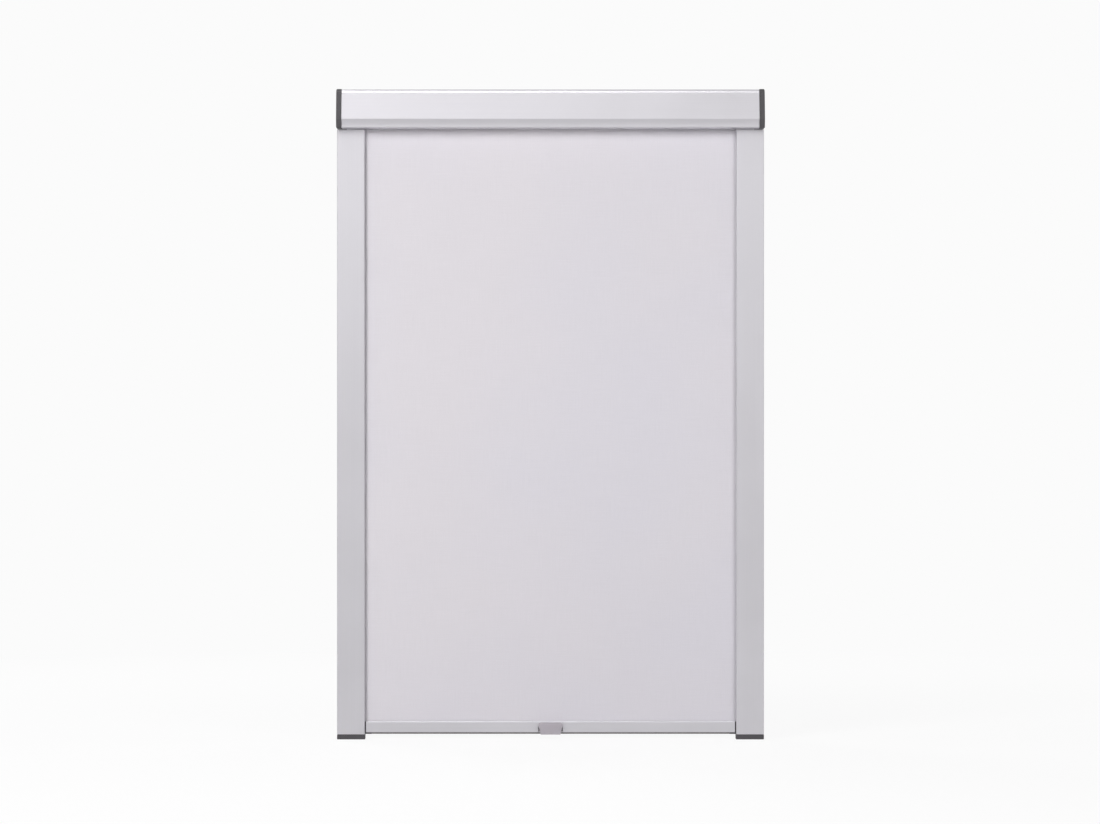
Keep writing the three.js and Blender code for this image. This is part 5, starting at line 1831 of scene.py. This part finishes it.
@dataclass
class FabricPanel:
    """The blackout cloth between the roller and the bottom bar."""

    thickness: float = 0.35
    bend_radius: float = 50.0
    bend_below: float = 3.0  # the headbox, where the cloth comes in line with the rails
    leave_depth: float = 10.8125
    depth: float = 8.0
    columns: int = 72
    row_height: float = 9.0
    ripple: float = 0.16  # the cloth is drawn tight, so it hardly bows
    ripple_below: float = 20.0  # the headbox
    wave: float = 0.021  # of the bow across the cloth, in radians a millimetre
    fine_wave: Span = (0.047, 0.004)  # of a smaller one, across and up the cloth
    notch_height: float = 1.8
    notch_clear: float = 0.3  # inside the bar's end

    def centre_line(self) -> Outline:
        """Draws the cloth's middle from the roller down to the bar.

        Returns:
            Its points as (depth, z).
        """
        top, hem = high("fabric_panel").z, low("fabric_panel").z
        bend = low("headbox_cover").z - self.bend_below
        corners = [(self.leave_depth, top), (self.depth, bend, self.bend_radius), (self.depth, hem)]
        line = rounded(corners, closed=False, step=math.radians(0.5))
        notch = hem + self.notch_height
        count = max(1, round((line[-2].y - notch) / self.row_height))
        step = (notch - line[-2].y) / count
        down = [Vector((self.depth, line[-2].y + step * i)) for i in range(1, count + 1)]
        return [*line[:-1], *down, line[-1]]

    def bow(self, x: float, z: float, top: float, bottom: float) -> float:
        """Gives the small bow of the drawn cloth, nothing where it is held.

        Args:
            x: the place across the cloth.
            z: its height.
            top: the height where the cloth starts to bow.
            bottom: the height of the hem.

        Returns:
            How far the cloth stands off its middle.
        """
        share = (z - bottom) / (top - bottom)
        held = max(0.0, math.sin(math.pi * min(1.0, max(0.0, share)))) ** 0.7
        across, up = self.fine_wave
        wave = math.sin(x * self.wave + 0.6) + 0.6 * math.sin(x * across + z * up)
        return self.ripple * held * wave

    def panel(self) -> bpy.types.Mesh:
        """Makes the cloth as a thin closed sheet, its face to the room and its coating to the sash.

        Returns:
            The shaded sheet, with a material for each side.
        """
        line = self.centre_line()
        half = high("fabric_panel").x
        notch = high("bar_profile").x - self.notch_clear
        inner = [notch * (2 * i / self.columns - 1) for i in range(self.columns + 1)]
        edge = [notch + (half - notch) * k / 2 for k in (1, 2)]
        xs = [-x for x in reversed(edge)] + inner + edge
        bottom = line[-1].y
        steady = low("headbox_cover").z - self.ripple_below
        points = []
        for offset in (self.thickness / 2, -self.thickness / 2):
            sheet = moved(line, offset)
            for centre, (depth, z) in zip(line, sheet, strict=True):
                for x in xs:
                    bow = self.bow(x, centre.y, steady, bottom) if centre.y < steady else 0.0
                    points.append(Vector((x, -(depth + bow), z)) * MM)
        width, rows = len(xs), len(line)
        notched = {*range(len(edge)), *range(width - 1 - len(edge), width - 1)}
        cells = [(r, c) for r in range(rows - 1) for c in range(width - 1)]
        kept = {(r, c) for r, c in cells if r < rows - 2 or c not in notched}
        back = width * rows
        faces_front, faces_back, rims = [], [], []
        for r, c in sorted(kept):
            a = r * width + c
            faces_front.append((a, a + width, a + width + 1, a + 1))
            faces_back.append((a + back, a + back + 1, a + back + width + 1, a + back + width))
            around = {
                (r - 1, c): (a + 1, a),
                (r + 1, c): (a + width, a + width + 1),
                (r, c - 1): (a, a + width),
                (r, c + 1): (a + width + 1, a + 1),
            }
            rims += [(q, p, p + back, q + back) for cell, (p, q) in around.items() if cell not in kept]
        mesh = bpy.data.meshes.new("panel")
        mesh.from_pydata(points, [], faces_front + faces_back + rims)
        mesh.materials.append(CLOTH_FACE.material())
        mesh.materials.append(CLOTH_BACK.material())
        for face in mesh.polygons[len(kept):2 * len(kept)]:
            face.material_index = 1
        loose = bmesh.new()
        loose.from_mesh(mesh)
        bmesh.ops.delete(loose, geom=[v for v in loose.verts if not v.link_faces], context="VERTS")
        bmesh.ops.recalc_face_normals(loose, faces=loose.faces)
        loose.to_mesh(mesh)
        loose.free()
        mesh.shade_smooth()
        mesh.set_sharp_from_angle(angle=SHARP_ANGLE)
        return mesh

    def build(self) -> None:
        """Builds the cloth, hangs it on the frame and gives it a mesh of its own."""
        piece = object_of("cloth_panel", self.panel())
        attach(piece, "frame")
        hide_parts("fabric_panel")
        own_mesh(piece)
        logging.info("cloth_panel rides on frame, %d faces", len(piece.data.polygons))


@dataclass
class BottomBar:
    """The bar that the finger grip pulls, its seal, and the glides that run in the rails."""

    wall: float = 1.2
    top_radius: float = 1.8
    bottom_radius: float = 1.0
    keder_radius: float = 1.7
    slot: float = 1.2
    hollow: Span = (3.6, 9.0)
    hollow_radius: float = 0.4
    groove_width: float = 5.0
    groove_height: float = 1.5
    groove_mouth: float = 2.6
    groove_radius: float = 0.2
    peg_hole: float = 1.8  # radius of the two holes that take the grip's pegs
    peg_spacing: float = 20.0
    edge: float = 0.15
    seal_lip: float = 2.4
    seal_width: float = 1.6
    seal_corner: float = 0.15
    seal_root_radius: float = 0.1
    seal_tip_radius: float = 0.45
    gap_from_middle: Span = (15.2, 17.8)  # the gaps beside the grip, for a tool to lever it off
    gap_height: float = 8.2
    seat: float = 0.3

    def __post_init__(self) -> None:
        """Takes the bar's place from the frame."""
        start, end = low("bar_profile"), high("bar_profile")
        self.bottom, self.height = start.z, end.z - start.z
        self.rear, self.front = -end.y, -start.y
        self.middle = (self.rear + self.front) / 2
        self.ends = (start.x, end.x)

    def profile_mesh(self) -> bpy.types.Mesh:
        """Makes the bar: rounded top edges, a slot for the hem, a hollow and a groove for the seal.

        Returns:
            The bar with its gaps and peg holes.
        """
        outline = rounded(
            [
                (self.rear, 0.0, self.bottom_radius),
                (self.front, 0.0, self.bottom_radius),
                (self.front, self.height, self.top_radius),
                (self.rear, self.height, self.top_radius),
            ]
        )
        keder = self.height - self.top_radius - self.keder_radius
        past = (self.ends[0] - OVERRUN, self.ends[1] + OVERRUN)
        middle, groove_top = self.middle, self.wall + self.groove_height

        def about(width: float) -> Span:
            """Gives the two sides of a width about the bar's middle."""
            return (middle - width / 2, middle + width / 2)

        cuts = [
            rectangle((self.rear + self.wall, self.front - self.wall), self.hollow, self.hollow_radius),
            rectangle(about(self.slot), (keder, self.height + OVERRUN)),
            rectangle(about(self.groove_width), (self.wall, groove_top), self.groove_radius),
            rectangle(about(self.groove_mouth), (-OVERRUN, self.wall + self.groove_height / 2)),
            circle((middle, keder), self.keder_radius + self.seat),
        ]
        tools = [profile(line, Run.ACROSS, past, self.bottom) for line in cuts]
        peg, half = sum(self.hollow) / 2, self.peg_spacing / 2
        through = (self.front - self.wall - OVERRUN, self.front + OVERRUN)
        holes = [pin(self.peg_hole, Run.OUT, (x, peg), through, self.bottom) for x in (-half, half)]
        gap = self.gap_from_middle
        gaps = [
            block(span, through, (-OVERRUN, self.gap_height), self.bottom)
            for span in ((-gap[1], -gap[0]), gap)
        ]
        body = profile(outline, Run.ACROSS, self.ends, self.bottom)
        return eased(carved(body, cut=[*tools, *holes, *gaps]), self.edge)

    def seal(self) -> bpy.types.Mesh:
        """Makes the rubber lip along the underside.

        Returns:
            The lip's mesh.
        """
        middle, corner, neck = self.middle, self.seal_corner, self.seal_root_radius
        root, wide = self.groove_mouth / 2 - self.seat, self.groove_width / 2 - self.seat
        foot, head = self.wall + self.seat, self.wall + self.groove_height - self.seat
        tip = self.seal_width / 2
        line = rounded(
            [
                (middle - wide, foot, corner),
                (middle - root, foot, neck),
                (middle - root, 0.0),
                (middle - tip, -self.seal_lip, self.seal_tip_radius),
                (middle + tip, -self.seal_lip, self.seal_tip_radius),
                (middle + root, 0.0),
                (middle + root, foot, neck),
                (middle + wide, foot, corner),
                (middle + wide, head, corner),
                (middle - wide, head, corner),
            ]
        )
        ends = (low("bar_seal").x, high("bar_seal").x)
        return profile(line, Run.ACROSS, ends, self.bottom)

    def build(self) -> None:
        """Builds and mounts the bar, its seal and its glides."""
        mount("bar", self.profile_mesh(), SILVER_ACROSS, "bottom_bar", "bar_profile")
        mount("seal_lip", self.seal(), DARK_RUBBER, "bottom_bar", "bar_seal")
        dress_node("bar_keder", WHITE_MOULDED)
        for side, _ in SIDES:
            softened(f"glide_{side}", DARK_MOULDED, "bottom_bar", 0.3)
            softened(f"brake_pad_{side}", PILE, "bottom_bar", 0.15)
            softened(f"brake_spring_{side}", SPRING_WIRE, "bottom_bar", 0.05)


@dataclass
class FingerGrip:
    """The cup under the middle of the bar that the fingertips pull on."""

    bar: BottomBar
    width: float = 34.6
    lower_width: float = 28.4
    reach: float = 12.6
    undercut: float = 2.4
    wall: float = 1.6
    from_top: float = 1.6
    radius: float = 2.2
    peg_radius: float = 1.5
    peg_length: float = 3.0
    edge: float = 0.65

    def cup(self, inset: float, below: float) -> bpy.types.Mesh:
        """Makes the cup's outer form, or with an inset the room inside it.

        Args:
            inset: how far the faces are moved inwards.
            below: how far the form is carried down past the cup's mouth.

        Returns:
            The form's mesh.
        """
        rear = self.bar.front + self.bar.seat
        top, bottom = self.bar.height - self.from_top, -self.bar.seal_lip
        front, radius = self.bar.front + self.reach, self.radius - inset / 2
        side = rounded(
            [
                (rear + inset, bottom - below),
                (front - self.undercut - inset, bottom - below),
                (front - inset, top - inset, radius),
                (rear + inset, top - inset),
            ]
        )
        face = rounded(
            [
                (-self.lower_width / 2 + inset, bottom - below),
                (self.lower_width / 2 - inset, bottom - below),
                (self.width / 2 - inset, top - inset, radius),
                (-self.width / 2 + inset, top - inset, radius),
            ]
        )
        along = profile(side, Run.ACROSS, (-self.width, self.width), self.bar.bottom)
        through = profile(face, Run.OUT, (rear - OVERRUN, front + OVERRUN), self.bar.bottom)
        body = object_of("cup", along)
        tool = object_of("face", through)
        modifier = body.modifiers.new("common", "BOOLEAN")
        modifier.operation, modifier.solver, modifier.object = "INTERSECT", "EXACT", tool
        mesh = plain_mesh(body)
        bpy.data.objects.remove(tool)
        return mesh

    def build(self) -> None:
        """Builds and mounts the grip."""
        rear, height = self.bar.front + self.bar.seat, sum(self.bar.hollow) / 2
        cup = eased(carved(self.cup(0.0, 0.0), cut=[self.cup(self.wall, OVERRUN)]), self.edge, 3)
        half, depths = self.bar.peg_spacing / 2, (rear - self.peg_length, rear + self.wall / 2)
        pegs = [pin(self.peg_radius, Run.OUT, (x, height), depths, self.bar.bottom) for x in (-half, half)]
        mount("grip", carved(cup, join=pegs), GREY_MOULDED, "bottom_bar", "finger_grip")


# Stage.


class Reach(Enum):
    """What a studio light acts on."""

    DULL = "diffuse"  # a lamp that lights the scene and isn't mirrored
    METAL = "glossy"  # a white card that is only seen mirrored


@dataclass
class Studio:
    """The pale floor, the soft lamps and the camera."""

    floor_size: float = 9.0  # from its middle to each side
    floor_below: float = 0.0002  # under the feet
    floor_tone: float = 0.82
    white: float = 0.965  # how the background shows
    world: float = 0.18  # what the surroundings give to dull surfaces
    shine: Span = (0.55, 0.85)  # what metal sees of them, in front of the blind and behind it
    floor_shine: float = 0.74  # what metal sees of the floor
    glow: float = 0.8  # the floor's share of plain white near the blind
    open_floor: float = 0.55  # light on the open floor
    near: Span = (1.1, 2.4)  # the floor turns into background between these distances
    distance: float = 6.0
    eye: Span = (-0.0007, -0.4557)
    lens: float = 136.4

    def floor(self) -> None:
        """Makes the floor, which shows pale but keeps the blind's shadow."""
        size, z = self.floor_size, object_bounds()[0][2] - self.floor_below
        mesh = bpy.data.meshes.new("floor")
        corners = [(-size, -size, z), (size, -size, z), (size, size, z), (-size, size, z)]
        mesh.from_pydata(corners, [], [(0, 1, 2, 3)])
        surface = Surface("pale_floor")
        tone = self.floor_tone
        surface.set(Base_Color=(tone, tone, tone + 0.005, 1.0), Roughness=0.8)
        away = surface.add("ShaderNodeVectorMath", {0: surface.place}, operation="LENGTH").outputs["Value"]
        glow = surface.spread(away, self.near, (self.glow, 1.0))
        lit = surface.math("MULTIPLY", surface.math("SUBTRACT", 1.0, glow), self.open_floor)
        strength = surface.math("DIVIDE", surface.math("SUBTRACT", self.white, lit), glow)
        path = surface.add("ShaderNodeLightPath").outputs
        dimmer = surface.spread(path["Is Glossy Ray"], (0.0, 1.0), (1.0, self.floor_shine))
        shown = {"Color": (1.0, 1.0, 1.0, 1.0), "Strength": surface.math("MULTIPLY", strength, dimmer)}
        white = surface.add("ShaderNodeEmission", shown)
        seen = surface.math("MAXIMUM", path["Is Camera Ray"], path["Is Glossy Ray"])
        seen = surface.math("MAXIMUM", seen, path["Is Transmission Ray"])
        share = surface.math("MULTIPLY", seen, glow)
        mix = {0: share, 1: surface.shader.outputs[0], 2: white.outputs[0]}
        mixed = surface.add("ShaderNodeMixShader", mix)
        surface.tree.links.new(mixed.outputs[0], surface.tree.nodes["Material Output"].inputs["Surface"])
        mesh.materials.append(surface.material)
        floor = object_of("studio_floor", mesh)
        floor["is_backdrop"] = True

    def surroundings(self) -> None:
        """Lights the scene evenly from all round, and shows white behind it."""
        world = bpy.data.worlds.new("studio")
        bpy.context.scene.world = world
        world.use_nodes = True
        wiring = Wiring(world.node_tree)
        path = wiring.add("ShaderNodeLightPath").outputs
        seen = wiring.math("MAXIMUM", path["Is Camera Ray"], path["Is Transmission Ray"])
        way = wiring.add("ShaderNodeTexCoord").outputs["Generated"]
        depth = wiring.add("ShaderNodeSeparateXYZ", {0: way}).outputs["Y"]
        mirrored_light = wiring.spread(depth, (-0.2, 1.0), self.shine)
        extra = wiring.math("SUBTRACT", mirrored_light, self.world)
        glossy = wiring.math("MULTIPLY", path["Is Glossy Ray"], extra)
        lit = wiring.math("ADD", glossy, self.world)
        shown = wiring.math("MULTIPLY", seen, self.white)
        hidden = wiring.math("MULTIPLY", wiring.math("SUBTRACT", 1.0, seen), lit)
        strength = wiring.math("ADD", shown, hidden)
        back = world.node_tree.nodes["Background"]
        back.inputs["Color"].default_value = (1.0, 1.0, 1.0, 1.0)
        world.node_tree.links.new(strength, back.inputs["Strength"])

    def lamp(
        self, name: str, reach: Reach, place: Sequence[float], aim: Sequence[float], size: Span, watts: float
    ) -> None:
        """Hangs a soft rectangular lamp or card.

        Args:
            name: the lamp's name.
            reach: what it acts on.
            place: where it hangs.
            aim: the place that it points at.
            size: its width and height.
            watts: its power.
        """
        data = bpy.data.lights.new(name, "AREA")
        data.shape, data.size, data.size_y, data.energy = "RECTANGLE", size[0], size[1], watts
        lamp = bpy.data.objects.new(name, data)
        lamp.location = place
        lamp.rotation_euler = (Vector(aim) - Vector(place)).to_track_quat("-Z", "Y").to_euler()
        lamp.visible_camera = False
        lamp.visible_glossy = reach is Reach.METAL
        lamp.visible_diffuse = reach is Reach.DULL
        bpy.context.scene.collection.objects.link(lamp)

    def camera(self) -> None:
        """Sets the camera square to the blind's front."""
        data = bpy.data.cameras.new("camera")
        data.lens, data.sensor_width, data.sensor_fit = self.lens, 36.0, "HORIZONTAL"
        data.clip_end = 50.0
        camera = bpy.data.objects.new("camera", data)
        camera.location = (self.eye[0], -self.distance, self.eye[1])
        camera.rotation_euler = (math.pi / 2, 0.0, 0.0)
        bpy.context.scene.collection.objects.link(camera)
        bpy.context.scene.camera = camera

    def build(self) -> None:
        """Sets the stage."""
        bpy.context.scene.view_settings.view_transform = "Standard"
        self.floor()
        self.surroundings()
        middle = (0.0, 0.0, -0.3)
        self.lamp("left_low", Reach.DULL, (-2.1, -3.0, 0.42), middle, (1.6, 0.7), 37.5)
        self.lamp("left_high", Reach.DULL, (-1.5, -2.8, 0.9), middle, (1.4, 0.6), 34.0)
        self.lamp("right_low", Reach.DULL, (2.0, -3.0, 0.42), middle, (1.6, 0.7), 32.0)
        self.lamp("back_left", Reach.DULL, (-1.9, 2.6, 0.6), middle, (1.4, 1.0), 42.0)
        self.lamp("back_right", Reach.DULL, (1.9, 2.8, 0.2), middle, (1.4, 1.0), 28.0)
        self.lamp("card_high", Reach.METAL, (-1.4, -3.2, 1.6), (-0.3, 0.0, -0.1), (2.5, 1.6), 13.6)
        self.lamp("card_left", Reach.METAL, (-1.25, -3.2, 0.5), middle, (2.2, 0.8), 8.2)
        self.lamp("card_right", Reach.METAL, (1.25, -3.2, 0.5), middle, (2.2, 0.8), 6.2)
        self.lamp("card_top", Reach.METAL, (-0.6, -0.7, 2.2), (0.0, 0.0, 0.0), (2.2, 0.9), 22.0)
        self.camera()


def main() -> None:
    """Builds the blind piece by piece and sets the stage."""
    logging.basicConfig(level=logging.INFO, format="%(message)s")
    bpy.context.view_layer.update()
    headbox = Headbox()
    headbox.build()
    caps = EndCaps(headbox)
    caps.build()
    Rails().build()
    Screws().build()
    Roller(caps).build()
    FabricPanel().build()
    bar = BottomBar()
    bar.build()
    FingerGrip(bar).build()
    Studio().build()


if __name__ == "__main__":
    main()
